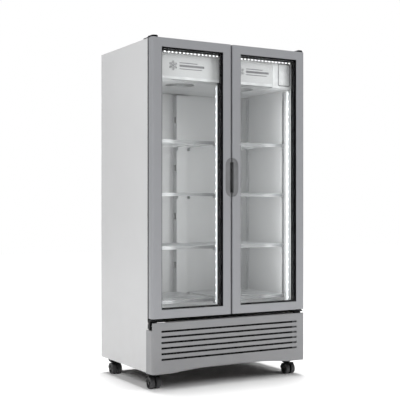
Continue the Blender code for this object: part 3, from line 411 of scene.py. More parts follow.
def add_sheet(bm, plane, low, high, holes, start, end):
    """A sheet between two corners of a plane with rectangular holes, each (a0, b0, a1, b1)."""
    columns = sorted({low[0], high[0], *(hole[0] for hole in holes), *(hole[2] for hole in holes)})
    rows = sorted({low[1], high[1], *(hole[1] for hole in holes), *(hole[3] for hole in holes)})
    cells = set()
    for i, (a0, a1) in enumerate(zip(columns, columns[1:])):
        for j, (b0, b1) in enumerate(zip(rows, rows[1:])):
            a, b = (a0 + a1) / 2, (b0 + b1) / 2
            if not any(hole[0] < a < hole[2] and hole[1] < b < hole[3] for hole in holes):
                cells.add((i, j))
    made = {}

    def vert(i, j, k):
        if (i, j, k) not in made:
            made[i, j, k] = bm.verts.new(spot(plane, columns[i], rows[j], (start, end)[k]))
        return made[i, j, k]

    for i, j in cells:
        around = ((i, j), (i + 1, j), (i + 1, j + 1), (i, j + 1))
        beyond = ((i, j - 1), (i + 1, j), (i, j + 1), (i - 1, j))
        for k in (0, 1):
            bm.faces.new([vert(*corner, k) for corner in around])
        for first, second, cell in zip(around, around[1:] + around[:1], beyond):
            if cell not in cells:
                bm.faces.new([vert(*first, 0), vert(*second, 0), vert(*second, 1), vert(*first, 1)])


def add_screw(bm, place, direction, radius=0.0040, height=0.0022):
    """A hex washer screw: a thin flange under a head with a chamfered crown."""
    add_rod(bm, place, place + direction * height * 0.3, radius, 16, radius * 0.94)
    add_rod(bm, place + direction * height * 0.3, place + direction * height * 0.85, radius * 0.62, 6)
    crown = place + direction * height * 0.85
    add_rod(bm, crown, place + direction * height, radius * 0.60, 6, radius * 0.42)


def make(name, bm, body, finish, smooth=35, stands_for=(), look=None):
    """Turns what was drawn into a piece that rides on a body. Smooth is the sharpest rounded angle."""
    bmesh.ops.recalc_face_normals(bm, faces=bm.faces)
    mesh = bpy.data.meshes.new(name)
    bm.to_mesh(mesh)
    bm.free()
    mesh.shade_smooth()
    mesh.set_sharp_from_angle(angle=math.radians(smooth))
    mesh.materials.append(LOOKS[look or finish])
    piece = bpy.data.objects.new(name, mesh)
    bpy.context.scene.collection.objects.link(piece)
    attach(piece, body)
    if stands_for:
        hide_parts(*stands_for)
    return piece


X, DEPTH, Z = Vector((1, 0, 0)), Vector((0, 1, 0)), Vector((0, 0, 1))

# ---------------- doors

GLASS_NEAR, GLASS_FAR = 0.0605, 0.466
GLASS_LOW, GLASS_HIGH = 0.459, 1.948


def door_rectangle(sign, near, far, low, high):
    """Lower and upper (x, z) corners of a rectangle given by distances from the cabinet's middle."""
    left, right = span(sign, near, far)
    return (left, low), (right, high)


def make_glazing(side, sign):
    """Two panes on a dark spacer, held by a black bead round the opening."""
    body = f"door_{side}"
    opening = door_rectangle(sign, GLASS_NEAR, GLASS_FAR, GLASS_LOW, GLASS_HIGH)
    unit = door_rectangle(sign, 0.0540, 0.4725, 0.4525, 1.9545)
    panes = bmesh.new()
    for front, back in ((0.0096, 0.0136), (0.0254, 0.0294)):
        add_box(panes, (unit[0][0], front, unit[0][1]), (unit[1][0], back, unit[1][1]), 0.0006, 1)
    pane = make(f"door_panes_{side}", panes, body, "glass", stands_for=[f"door_glass_{side}"])
    pane.visible_shadow = False

    spacer = bmesh.new()
    add_frame(spacer, ((0, 0.0138), (0.0155, 0.0138), (0.0155, 0.0252), (0, 0.0252)), *unit)
    make(f"glass_spacer_{side}", spacer, body, "trim_black")

    beads = bmesh.new()
    add_frame(beads, ((0, 0.0012), (0.0008, 0.0018), (0.0008, 0.0094), (0, 0.0094)), *opening)
    profile = (
        (-0.0072, 0.0297), (0.0, 0.0297), (0.0012, 0.0320),
        (0.0012, 0.0440), (-0.0010, 0.0478), (-0.0072, 0.0478),
    )
    add_frame(beads, profile, *opening)
    make(f"glazing_bead_{side}", beads, body, "trim_black")


def make_gasket(side, sign):
    """A magnet tube on a bellows, with a sealing lip on its inner edge."""
    section = (
        (0.004, 0.0485), (0.023, 0.0485), (0.0245, 0.0498), (0.0205, 0.0508), (0.0262, 0.0524),
        (0.0275, 0.0540), (0.0262, 0.0556), (0.0125, 0.0556), (0.0108, 0.0542), (0.0070, 0.0550),
        (0.0010, 0.0556), (0.0002, 0.0545), (0.0050, 0.0518), (0.0028, 0.0500),
    )
    gasket = bmesh.new()
    add_frame(gasket, section, *door_rectangle(sign, 0.012, 0.5045, 0.420, 1.988))
    make(f"gasket_bellows_{side}", gasket, f"door_{side}", "rubber", stands_for=[f"door_gasket_{side}"])


def make_hinge_screws(side, sign):
    """Screws through the hinge cap on the roof and the bracket under the door."""
    screws = bmesh.new()
    for x, depth in ((0.4880, 0.080), (0.4880, 0.108), (0.5140, 0.094)):
        add_screw(screws, at(sign * x, depth, 2.005), Z, 0.0042, 0.0020)
    for x in (0.4900, 0.5110):
        add_screw(screws, at(sign * x, 0.0361, 0.366), -DEPTH, 0.0042, 0.0022)
    make(f"hinge_screws_{side}", screws, "cabinet", "galvanised", look="steel")


for side, sign in SIDES:
    make_glazing(side, sign)
    make_gasket(side, sign)
    make_hinge_screws(side, sign)

# ---------------- lamps of the cabinet

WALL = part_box("led_bar_right")[1].x
LED_LOW, LED_HIGH = 0.458, 1.769
LED_PITCH = 0.047


def add_lenses(bm, points, direction):
    """A domed lens over each diode."""
    dome = ((0.0042, 0.0), (0.0040, 0.0008), (0.0030, 0.0016), (0.0015, 0.0020), (0, 0.0021))
    for point in points:
        add_lathe(bm, ((0, 0.0), *dome), point, direction, 12)


def led_heights():
    """The height of each diode of an upright lamp bar."""
    count = int((LED_HIGH - LED_LOW - 0.03) / LED_PITCH)
    first = (LED_LOW + LED_HIGH - count * LED_PITCH) / 2
    return [first + LED_PITCH * i for i in range(count + 1)]


def bowed(back, edge, rise, depth, width):
    """A cover's section from its flat back to its bowed face, as (outward, depth) points."""
    steps = [i / 10 for i in range(11)]
    bow = [(edge + rise * math.sin(math.pi * step), depth + width * step) for step in steps]
    return [(back, depth), *bow, (back, depth + width)]


def make_wall_bar(side, sign):
    """A channel on the bay's wall with a bowed cover and a row of lenses."""
    channel = bmesh.new()
    outline = [(0.0, 0.0853), (0.0085, 0.0853), (0.0085, 0.0870), (0.0015, 0.0870),
               (0.0015, 0.1080), (0.0085, 0.1080), (0.0085, 0.1097), (0.0, 0.1097)]
    add_prism(channel, "xy", from_wall(sign, outline), LED_LOW + 0.006, LED_HIGH - 0.006)
    make(f"led_channel_{side}", channel, "cabinet", "aluminium")

    cover = bmesh.new()
    outline = bowed(0.0020, 0.0070, 0.0065, 0.0872, 0.0206)
    add_prism(cover, "xy", from_wall(sign, outline), LED_LOW + 0.006, LED_HIGH - 0.006)
    make(f"led_diffuser_{side}", cover, "cabinet", "led_cover", stands_for=[f"led_bar_{side}"])

    lenses = bmesh.new()
    add_lenses(lenses, [at(sign * (WALL - 0.0098), 0.0905, z) for z in led_heights()], -sign * X)
    make(f"led_lenses_{side}", lenses, "cabinet", "led_cover", look="led_lens")

    caps = bmesh.new()
    for z in (LED_LOW, LED_HIGH - 0.006):
        low, high = span(sign, WALL - 0.0155, WALL)
        add_box(caps, (low, 0.0850, z), (high, 0.1100, z + 0.006), 0.0012)
    make(f"led_end_caps_{side}", caps, "cabinet", "plastic_white")


def from_wall(sign, outline):
    """Points given by their distance in from a bay's wall, as (x, second)."""
    return [(sign * (WALL - inward), second) for inward, second in outline]


def make_center_bar():
    """A hat-shaped channel behind the mullion that lights both bays."""
    channel = bmesh.new()
    outline = [(-0.0430, 0.0960), (0.0430, 0.0960), (0.0430, 0.1178), (-0.0430, 0.1178)]
    add_prism(channel, "xy", outline, LED_LOW, LED_HIGH)
    make("led_channel_center", channel, "cabinet", "aluminium", stands_for=["led_bar_center"])
    cover = bmesh.new()
    lenses = bmesh.new()
    for sign in (-1, 1):
        outline = [(sign * x, depth) for x, depth in bowed(0.0432, 0.0440, 0.0042, 0.0965, 0.0205)]
        add_prism(cover, "xy", outline, LED_LOW + 0.004, LED_HIGH - 0.004)
        add_lenses(lenses, [at(sign * 0.0479, 0.1068, z) for z in led_heights()], sign * X)
    make("led_diffuser_center", cover, "cabinet", "led_cover")
    make("led_lenses_center", lenses, "cabinet", "led_cover", look="led_lens")


def make_header_strip():
    """The lamps over the header panels."""
    strip = bmesh.new()
    lenses = bmesh.new()
    for sign in (-1, 1):
        low, high = span(sign, 0.0480, WALL - 0.0015)
        add_box(strip, (low, 0.0680, 1.9312), (high, 0.0738, 1.9384), 0.0010)
        points = [at(low + 0.012 + 0.025 * i, 0.0680, 1.9348) for i in range(17)]
        add_lenses(lenses, points, -DEPTH)
    make("led_strip_header", strip, "cabinet", "plastic_white")
    make("led_lenses_header", lenses, "cabinet", "led_cover", look="led_lens")


for side, sign in SIDES:
    make_wall_bar(side, sign)
make_center_bar()
make_header_strip()

# ---------------- bays

SHELF_TOPS = (0.495, 0.8115, 1.125, 1.436)
CROSS_BAR_DROP = 0.0052
STANDARD_DEPTHS = (("front", 0.140), ("rear", 0.560))
STANDARD_LOW, STANDARD_HIGH = 0.4552, 1.7648
SLOT_PITCH = 0.025


def make_shelf(side, sign, number, top):
    """Wires welded over five cross bars, between two side bars, behind a rolled front rail."""
    wires = bmesh.new()
    for i in range(17):
        x = sign * (0.0530 + 0.0253 * i)
        line = ((0.1415, 0.0130), (0.1415, 0.0014), (0.6020, 0.0014), (0.6020, 0.0140))
        path = [at(x, depth, top - drop) for depth, drop in line]
        add_tube(wires, rounded(path, 0.004, 3), 0.0013, 6)
    for depth in (0.1450, 0.2580, 0.3720, 0.4860, 0.5985):
        ends = [at(sign * x, depth, top - CROSS_BAR_DROP) for x in (0.0465, 0.4640)]
        add_rod(wires, *ends, 0.0024, 8)
    for x in (0.0475, 0.4630):
        ends = [at(sign * x, depth, top - CROSS_BAR_DROP) for depth in (0.1380, 0.6045)]
        add_rod(wires, *ends, 0.0029, 10)
    make(f"shelf_wires_{side}_{number}", wires, "cabinet", "shelf_grey", 60, [f"shelf_{side}_{number}"])

    rail = bmesh.new()
    section = (
        (0.1352, -0.0198), (0.1352, -0.0112), (0.1364, -0.0108), (0.1364, -0.0092), (0.1352, -0.0088),
        (0.1352, -0.0014), (0.1362, -0.0002), (0.1398, -0.0002), (0.1398, -0.0018), (0.1372, -0.0018),
        (0.1372, -0.0198),
    )
    low, high = span(sign, 0.0448, 0.4657)
    add_prism(rail, "yz", [(depth, top + z) for depth, z in section], low, high)
    make(f"shelf_rail_{side}_{number}", rail, "cabinet", "shelf_grey", look="shelf_rail")


def make_standards(side, sign):
    """Slotted channels on the wall, and the clips that hang the shelves in their slots."""
    for place, depth in STANDARD_DEPTHS:
        channel = bmesh.new()
        lows = [0.4700 + SLOT_PITCH * i for i in range(52)]
        slots = [(depth + 0.005, low, depth + 0.015, low + 0.0045) for low in lows]
        near, inner = span(sign, WALL - 0.0058, WALL - 0.0046)
        start, end = (depth + 0.0002, STANDARD_LOW), (depth + 0.0198, STANDARD_HIGH)
        add_sheet(channel, "yz", start, end, slots, near, inner)
        for edge in (depth + 0.0002, depth + 0.0186):
            low, high = span(sign, WALL - 0.0045, WALL - 0.0001)
            add_box(channel, (low, edge, STANDARD_LOW), (high, edge + 0.0012, STANDARD_HIGH))
        node = f"shelf_standard_{side}_{place}"
        make(f"standard_{side}_{place}", channel, "cabinet", "aluminium", stands_for=[node])

    clips = bmesh.new()
    for top in SHELF_TOPS:
        for _, depth in STANDARD_DEPTHS:
            hook = (
                (0.0060, -0.0240), (0.0060, -0.0020), (0.0080, -0.0020), (0.0083, -0.0086),
                (0.0155, -0.0086), (0.0155, -0.0106), (0.0080, -0.0200),
            )
            outline = from_wall(sign, [(inward, top + z) for inward, z in hook])
            add_prism(clips, "xz", outline, depth + 0.0065, depth + 0.0135)
    make(f"shelf_clips_{side}", clips, "cabinet", "aluminium", look="steel")


def make_center_brackets():
    """Hooks behind the lamp channel and on the duct that hold the shelves' inner ends."""
    brackets = bmesh.new()
    for top in SHELF_TOPS:
        for sign in (-1, 1):
            low, high = span(sign, 0.0430, 0.0444)
            add_box(brackets, (low, 0.1132, top - 0.030), (high, 0.1520, top - 0.0095), 0.0004, 1)
            add_box(brackets, (low, 0.5880, top - 0.030), (high, 0.6300, top - 0.0095), 0.0004, 1)
            low, high = span(sign, 0.0430, 0.0500)
            for depth in (0.1380, 0.5880):
                corner = (high, depth + 0.0140, top - 0.0086)
                add_box(brackets, (low, depth, top - 0.0102), corner, 0.0004, 1)
        add_box(brackets, (-0.0440, 0.1182, top - 0.030), (0.0440, 0.1196, top - 0.0095))
    make("shelf_brackets_center", brackets, "cabinet", "aluminium", look="steel")


for side, sign in SIDES:
    make_standards(side, sign)
    for number, top in enumerate(SHELF_TOPS, 1):
        make_shelf(side, sign, number, top)
make_center_brackets()


def make_header_emblem(side, x):
    """A plain snowflake and two bars, printed on the header."""
    emblem = bmesh.new()
    front, back = 0.0656, 0.0662
    middle = (x, 1.8580)
    for arm in range(6):
        angle = math.radians(60 * arm + 30)
        along = Vector((math.cos(angle), 0, math.sin(angle)))
        add_strip(emblem, middle, angle, 0.0, 0.029, 0.0034, front, back)
        for share, length in ((0.38, 0.0110), (0.68, 0.0090)):
            start = (middle[0] + along.x * 0.029 * share, middle[1] + along.z * 0.029 * share)
            for turn in (-50, 50):
                add_strip(emblem, start, angle + math.radians(turn), 0.0, length, 0.0028, front, back)
    for z, height, length in ((1.8740, 0.0050, 0.120), (1.8530, 0.0130, 0.165), (1.8390, 0.0050, 0.150)):
        add_box(emblem, (x + 0.042, front, z), (x + 0.042 + length, back, z + height), 0.0002, 1)
    make(f"header_emblem_{side}", emblem, "cabinet", "handle_grey", look="print_grey")


def add_strip(bm, start, angle, begin, end, width, front, back):
    """A straight bar in the doors' plane from a point, at an angle to the X axis."""
    along = (math.cos(angle), math.sin(angle))
    across = (-along[1] * width / 2, along[0] * width / 2)
    outline = []
    for reach, side in ((begin, -1), (end, -1), (end, 1), (begin, 1)):
        outline.append(tuple(start[i] + along[i] * reach + across[i] * side for i in (0, 1)))
    add_prism(bm, "xz", outline, front, back)


def make_header_lip(side, near, far):
    """The pale nosing along the header's lower edge."""
    lip = bmesh.new()
    section = [(0.0641, 1.7793), (0.0641, 1.7925), (0.0652, 1.7950), (0.0664, 1.7950), (0.0664, 1.7793)]
    add_prism(lip, "yz", section, near, far)
    make(f"header_lip_{side}", lip, "cabinet", "plastic_white")


def rounded_rectangle(low, high, radius, steps=4):
    """The outline of an upright rectangle with round corners, as (x, z) points."""
    centres = (
        (high[0] - radius, high[1] - radius), (low[0] + radius, high[1] - radius),
        (low[0] + radius, low[1] + radius), (high[0] - radius, low[1] + radius),
    )
    outline = []
    for quarter, (x, z) in enumerate(centres):
        for step in range(steps + 1):
            angle = math.pi / 2 * (quarter + step / steps)
            outline.append((x + radius * math.cos(angle), z + radius * math.sin(angle)))
    return outline


def make_controller_seal_and_shade():
    """A dark seal laid over the groove round the controller's window. Its dark colour also stands in for
    the groove's shade, as painted shade.
    """
    seal = bmesh.new()
    outer = rounded_rectangle((0.3722, 1.7882), (0.4618, 1.9268), 0.0108)
    inner = rounded_rectangle((0.3772, 1.7932), (0.4568, 1.9218), 0.0058)
    front, back = 0.0634, 0.0645
    loops = ((outer, back), (outer, front), (inner, front), (inner, back))
    rings = [[seal.verts.new(at(x, depth, z)) for x, z in loop] for loop, depth in loops]
    bridge(seal, rings + rings[:1])
    make("controller_seal_and_shade", seal, "cabinet", "trim_black", look="handle_grey")


make_controller_seal_and_shade()
make_header_lip("left", -WALL, -0.0468)
make_header_lip("right", 0.0468, 0.3292)
make_header_emblem("left", -0.359)
make_header_emblem("right", 0.098)

# ---------------- cold air


def add_blade(bm, place, turn, start, inner, outer, spread, rise):
    """A pitched blade, thickest in its middle, that broadens from the hub outwards."""
    rings = []
    steps = [i / 4 - 1 for i in range(9)]
    for i in range(6):
        share = i / 5
        radius = inner + (outer - inner) * share
        half = spread * (0.62 + 0.38 * math.sin(math.pi * share * 0.6)) / 2
        points = []
        for surface, order in ((1, steps), (-1, steps[::-1])):
            for across in order:
                thick = 0.0004 + 0.0009 * (1 - across**2)
                height = rise * across * (1 - 0.35 * share) + 0.0030 * (1 - across**2) + surface * thick
                angle = start + across * half + 0.35 * share
                local = Vector((radius * math.cos(angle), radius * math.sin(angle), height))
                points.append(bm.verts.new(place + turn @ local))
        rings.append(points)
    bridge(bm, rings)
    bm.faces.new(rings[0])
    bm.faces.new(rings[-1])


def make_fan(name, body, place, axis, outer, hub, rise, count, node):
    """Moulded blades round a domed hub."""
    fan = bmesh.new()
    turn = axis.to_track_quat("Z", "Y")
    share = 2 * math.pi / count
    for i in range(count):
        add_blade(fan, place, turn, share * i, hub * 0.92, outer, 0.95 * share, rise)
    cup = (
        (0, -rise), (hub * 0.85, -rise), (hub, -rise * 0.8), (hub, rise * 0.8),
        (hub * 0.9, rise), (hub * 0.35, rise * 1.05), (0, rise * 1.05),
    )
    add_lathe(fan, cup, place, axis, 32)
    make(name, fan, body, "plastic_black", 50, [node])


def add_guard(bm, place, axis, radii, wire, spokes):
    """Concentric wire rings on spokes."""
    turn = axis.to_track_quat("Z", "Y")
    angles = [2 * math.pi * k / 48 for k in range(48)]
    around = [turn @ Vector((math.cos(a), math.sin(a), 0)) for a in angles]
    for radius in radii:
        add_tube(bm, [place + out * radius for out in around], wire, 6, closed=True)
    for i in range(spokes):
        angle = 2 * math.pi * (i + 0.5) / spokes
        out = turn @ Vector((math.cos(angle), math.sin(angle), 0))
        add_rod(bm, place + out * radii[0], place + out * radii[-1], wire * 1.3, 8)


def make_motor(name, place, axis, radius, length):
    """A shaded-pole motor: a ribbed can with end bells."""
    motor = bmesh.new()
    profile = [(0, 0), (radius * 0.55, 0), (radius * 0.80, length * 0.10), (radius * 0.92, length * 0.14)]
    for i in range(5):
        along = length * (0.18 + 0.13 * i)
        profile += [(radius * 0.92, along), (radius, along + length * 0.02)]
        profile += [(radius, along + length * 0.09), (radius * 0.92, along + length * 0.11)]
    profile += [(radius * 0.80, length * 0.90), (radius * 0.45, length), (0, length)]
    add_lathe(motor, profile, place, axis, 28)
    make(name, motor, "cabinet", "compressor_black")


for side, x in (("left", -0.21), ("right", 0.21)):
    place = at(x, 0.26, 1.7980)
    fan = f"evaporator_fan_{side}"
    make_fan(f"evaporator_blades_{side}", fan, place, Z, 0.082, 0.026, 0.0125, 5, fan)
    guard = bmesh.new()
    add_guard(guard, at(x, 0.26, 1.7785), Z, (0.022, 0.038, 0.054, 0.070, 0.085), 0.0011, 6)
    make(f"evaporator_guard_{side}", guard, "cabinet", "plastic_white")
    make_motor(f"evaporator_motor_{side}", at(x, 0.26, 1.8140), Z, 0.024, 0.045)


def add_serpentine(bm, x_low, x_high, depth, heights, radius, bend):
    """A tube that runs to and fro through the fins, turning round at each side."""
    path = []
    for i, z in enumerate(heights):
        ends = (x_low, x_high) if i % 2 == 0 else (x_high, x_low)
        path += [at(x, depth, z) for x in ends]
    add_tube(bm, rounded(path, bend, 4), radius, 10)


def make_coil(name, low, high, pitch, tubes, finish, tube_finish, node):
    """Thin fins on a serpentine of tubes, between two end plates."""
    fins = bmesh.new()
    margin = 0.012
    count = int((high[0] - low[0] - 2 * margin) / pitch)
    for i in range(count + 1):
        x = low[0] + margin + pitch * i
        start, end = (x, low[1] + 0.001, low[2] + 0.002), (x + 0.0004, high[1] - 0.001, high[2] - 0.002)
        add_box(fins, start, end)
    make(f"{name}_fins", fins, "cabinet", finish, stands_for=[node])
    pipes = bmesh.new()
    depths, heights, radius = tubes
    bend = (heights[1] - heights[0]) * 0.48
    for depth in depths:
        add_serpentine(pipes, low[0] + radius, high[0] - radius, depth, heights, radius, bend)
    make(f"{name}_tubes", pipes, "cabinet", tube_finish, 60)
    plates = bmesh.new()
    for x in (low[0] + 0.009, high[0] - 0.010):
        add_box(plates, (x, low[1], low[2]), (x + 0.001, high[1], high[2]))
    make(f"{name}_plates", plates, "cabinet", "galvanised")


make_coil(
    "evaporator", (-0.420, 0.430, 1.784), (0.420, 0.560, 1.919), 0.008,
    ((0.452, 0.482, 0.512, 0.540), [1.800 + 0.026 * i for i in range(5)], 0.0045),
    "aluminium", "copper", "evaporator_coil",
)
make_coil(
    "condenser", (-0.320, 0.090, 0.112), (-0.020, 0.150, 0.364), 0.004,
    ((0.105, 0.120, 0.135), [0.128 + 0.0275 * i for i in range(9)], 0.0042),
    "condenser_black", "condenser_black", "condenser_coil",
)

# ---------------- machine compartment


def make_condenser_fan():
    """The blades, their wire guard on four hooks, and the motor behind."""
    place = at(-0.17, 0.205, 0.238)
    make_fan("condenser_blades", "condenser_fan", place, DEPTH, 0.0985, 0.026, 0.0130, 5, "condenser_fan")
    guard = bmesh.new()
    add_guard(guard, at(-0.17, 0.2245, 0.238), DEPTH, (0.032, 0.050, 0.068, 0.086, 0.106), 0.0013, 6)
    for k in range(4):
        angle = math.pi / 4 + k * math.pi / 2
        x, z = -0.17 + 0.106 * math.cos(angle), 0.238 + 0.106 * math.sin(angle)
        path = [at(x, 0.2245, z), at(x + 0.012 * math.cos(angle), 0.2245, z + 0.012 * math.sin(angle)),
                at(x + 0.012 * math.cos(angle), 0.1925, z + 0.012 * math.sin(angle))]
        add_tube(guard, rounded(path, 0.005, 3), 0.0018, 8)
    make("condenser_guard", guard, "cabinet", "condenser_black")
    make_motor("condenser_motor", at(-0.17, 0.2265, 0.238), DEPTH, 0.032, 0.055)


def make_compressor():
    """Two pressed half shells welded at a flange, on a foot plate with rubber mounts."""
    shell = bmesh.new()
    profile = (
        (0, 0), (0.068, 0), (0.0765, 0.006), (0.0795, 0.018), (0.0795, 0.080), (0.0835, 0.083),
        (0.0835, 0.090), (0.0795, 0.093), (0.0790, 0.118), (0.0735, 0.139), (0.060, 0.153),
        (0.036, 0.1615), (0, 0.1645),
    )
    add_lathe(shell, profile, at(0.24, 0.42, 0.1085), Z, 48)
    make("compressor_shell", shell, "cabinet", "compressor_black", 40, ["compressor"])
    feet = bmesh.new()
    mounts = bmesh.new()
    bush = ((0, 0), (0.009, 0), (0.0095, 0.003), (0.007, 0.005), (0.0085, 0.009), (0, 0.010))
    for depth in (0.350, 0.490):
        add_box(feet, (0.150, depth - 0.014, 0.1045), (0.330, depth + 0.014, 0.1080), 0.0012)
        for x in (0.162, 0.318):
            add_lathe(mounts, bush, at(x, depth, 0.1060), Z, 16)
    make("compressor_feet", feet, "cabinet", "chassis_steel")
    make("compressor_mounts", mounts, "cabinet", "rubber")
    cover = bmesh.new()
    add_box(cover, (0.3140, 0.386, 0.160), (0.3490, 0.454, 0.232), 0.004, 3)
    make("compressor_terminal_cover", cover, "cabinet", "plastic_black")
    stubs = bmesh.new()
    for x, depth, z, reach in ((0.205, 0.352, 0.190, 0.060), (0.265, 0.352, 0.175, 0.045)):
        path = [at(x, depth, z), at(x, depth - 0.022, z), at(x, depth - 0.022, z + reach)]
        add_tube(stubs, rounded(path, 0.009, 4), 0.0035, 10)
    make("compressor_stubs", stubs, "cabinet", "copper", 60)


def make_condensate_pan():
    """A shallow tray on four feet, where the defrost water dries off."""
    pan = bmesh.new()
    outer, wall, base, top = (-0.300, 0.545, 0.080, 0.700), 0.0020, 0.150, 0.182
    left, front, right, back = outer
    add_box(pan, (left, front, base), (right, back, base + wall))
    for low, high in (
        ((left, front), (right, front + wall)),
        ((left, back - wall), (right, back)),
        ((left, front + wall), (left + wall, back - wall)),
        ((right - wall, front + wall), (right, back - wall)),
    ):
        add_box(pan, (*low, base + wall), (*high, top))
    for x in (left + 0.02, right - 0.04):
        for depth in (front + 0.01, back - 0.03):
            add_box(pan, (x, depth, 0.1010), (x + 0.02, depth + 0.02, base), 0.001)
    make("condensate_pan", pan, "cabinet", "plastic_black")


def make_filter():
    """A pleated dust filter behind the kick panel's slots, with a tab at one end."""
    pleats = bmesh.new()
    count = 196
    edge = [(-0.472 + 0.914 * i / count, 0.0100 + 0.0035 * (i % 2)) for i in range(count + 1)]
    outline = edge + [(x, depth + 0.0009) for x, depth in reversed(edge)]
    add_prism(pleats, "xy", outline, 0.125, 0.348)
    make("intake_filter", pleats, "cabinet", "plastic_black", 10, look="trim_black")
    tab = bmesh.new()
    add_box(tab, (0.4430, 0.0095, 0.120), (0.4800, 0.0150, 0.352), 0.0010)
    make("intake_filter_tab", tab, "cabinet", "handle_grey")


def make_chassis_flange():
    """The chassis's front flange, painted like the kick panel above it."""
    flange = bmesh.new()
    section = [(0.0634, 0.0985), (0.0634, 0.1390), (0.0644, 0.1390), (0.0644, 0.0985)]
    add_prism(flange, "yz", section, -0.5215, 0.5215)
    make("chassis_front_flange", flange, "cabinet", "frame_paint")


make_chassis_flange()
make_condenser_fan()
make_compressor()
make_condensate_pan()
make_filter()

# ---------------- back and top

SHEET_HALF, SHEET_BACK = 0.5223, 0.7170


def make_back():
    """The ribbed rear sheet, with the plugs of the foaming holes, a blank plate and screws."""
    panel = bmesh.new()
    add_box(panel, (-SHEET_HALF, 0.7152, 0.3922), (SHEET_HALF, SHEET_BACK, 1.9963), 0.0006, 1)
    for x in (-0.4, -0.2, 0.0, 0.2, 0.4):
        add_box(panel, (x - 0.012, 0.7160, 0.500), (x + 0.012, 0.7190, 1.900), 0.0018, 3)
    make("back_sheet", panel, "cabinet", "galvanised", 50, ["rear_panel"])
    plugs = bmesh.new()
    button = ((0, 0), (0.012, 0), (0.0125, 0.0006), (0.011, 0.0014), (0.008, 0.0011), (0, 0.0011))
    for x, z in ((-0.3, 1.30), (0.3, 1.30), (0.1, 0.62)):
        add_lathe(plugs, button, at(x, SHEET_BACK, z), DEPTH, 24)
    make("foam_plugs", plugs, "cabinet", "plastic_black")
    plate = bmesh.new()
    add_box(plate, (-0.345, SHEET_BACK, 0.560), (-0.255, SHEET_BACK + 0.0005, 0.620), 0.0002, 1)
    make("rating_plate_blank", plate, "cabinet", "aluminium")
    screws = bmesh.new()
    for sign in (-1, 1):
        for i in range(9):
            add_screw(screws, at(sign * 0.513, SHEET_BACK, 0.43 + 0.19 * i), DEPTH, 0.0042, 0.0019)
    for i in range(6):
        for z in (0.405, 1.985):
            add_screw(screws, at(-0.45 + 0.18 * i, SHEET_BACK, z), DEPTH, 0.0042, 0.0019)
    make("back_screws", screws, "cabinet", "galvanised", look="steel")


def grille_slots():
    """The grille's openings: two broad columns, one narrow, and the power inlet's window."""
    slots = [(-0.476, 0.124, -0.376, 0.194)]
    for middle, half in ((-0.175, 0.145), (0.155, 0.145), (0.370, 0.045)):
        slots += [(middle - half, 0.135 + 0.036 * i, middle + half, 0.147 + 0.036 * i) for i in range(6)]
    return slots


def make_grille():
    """The grille under the rear sheet, with a drip lip over each opening."""
    grille = bmesh.new()
    slots = grille_slots()
    add_sheet(grille, "xz", (-SHEET_HALF, 0.1042), (SHEET_HALF, 0.3893), slots, 0.7166, 0.7178)
    hood = ((0.7174, 0.0040), (0.7188, -0.0010), (0.7190, -0.0060), (0.7182, -0.0060), (0.7174, -0.0005))
    for left, _, right, top in slots[1:]:
        outline = [(depth, top + rise) for depth, rise in hood]
        add_prism(grille, "yz", outline, left - 0.001, right + 0.001)
    make("grille_sheet", grille, "cabinet", "galvanised", 20, ["rear_grille"])
    screws = bmesh.new()
    for x in (-0.505, -0.338, -0.010, 0.312, 0.505):
        for z in (0.116, 0.378):
            add_screw(screws, at(x, 0.7178, z), DEPTH, 0.0040, 0.0012)
    make("grille_screws", screws, "cabinet", "galvanised", look="steel")


def make_top_screws():
    """Screws round the roof panel's edge."""
    screws = bmesh.new()
    for x in (-0.34, 0.0, 0.34):
        add_screw(screws, at(x, 0.085, 2.0000), Z, 0.0042, 0.0020)
    for x in (-0.505, -0.25, 0.0, 0.25, 0.505):
        add_screw(screws, at(x, 0.700, 2.0000), Z, 0.0042, 0.0020)
    for sign in (-1, 1):
        for depth in (0.30, 0.50):
            add_screw(screws, at(sign * 0.505, depth, 2.0000), Z, 0.0042, 0.0020)
    make("top_screws", screws, "cabinet", "galvanised", look="steel")


make_back()
make_grille()
make_top_screws()

# ---------------- casters

CASTER_X = 0.470
CASTER_DEPTHS = (("front", 0.117), ("rear", 0.647))
WHEEL_RADIUS = 0.0325
WHEEL_TRAIL = 0.022


def make_wheels(corner, sign, depth):
    """A pair of wheels with moulded tyres, dished hubs and an axle."""
    tyres = bmesh.new()
    hubs = bmesh.new()
    axle = depth - WHEEL_TRAIL
    tyre = (
        (0.0262, 0.0), (0.0305, 0.0), (0.0320, 0.0008), (0.0325, 0.0026), (0.0325, 0.0224),
        (0.0320, 0.0242), (0.0305, 0.0250), (0.0262, 0.0250),
    )
    hub = (
        (0, 0.0020), (0.0070, 0.0020), (0.0080, 0.0050), (0.0200, 0.0060), (0.0235, 0.0016),
        (0.0261, 0.0010), (0.0261, 0.0242), (0.0235, 0.0236), (0.0205, 0.0180), (0.0085, 0.0190),
        (0.0075, 0.0246), (0, 0.0246),
    )
    for half in (-1, 1):
        place = at(sign * CASTER_X + half * 0.0065, axle, WHEEL_RADIUS)
        add_lathe(tyres, tyre, place, half * X, 40, closed=True)
        add_lathe(hubs, hub, place, half * X, 32)
    ends = [at(sign * CASTER_X + half * 0.0300, axle, WHEEL_RADIUS) for half in (-1, 1)]
    add_rod(hubs, *ends, 0.0036, 12)
    wheels = f"wheels_{corner}"
    node = f"caster_wheels_{corner}"
    make(f"caster_tyres_{corner}", tyres, wheels, "rubber", look="tyre", stands_for=[node])
    make(f"caster_hubs_{corner}", hubs, wheels, "plastic_black")


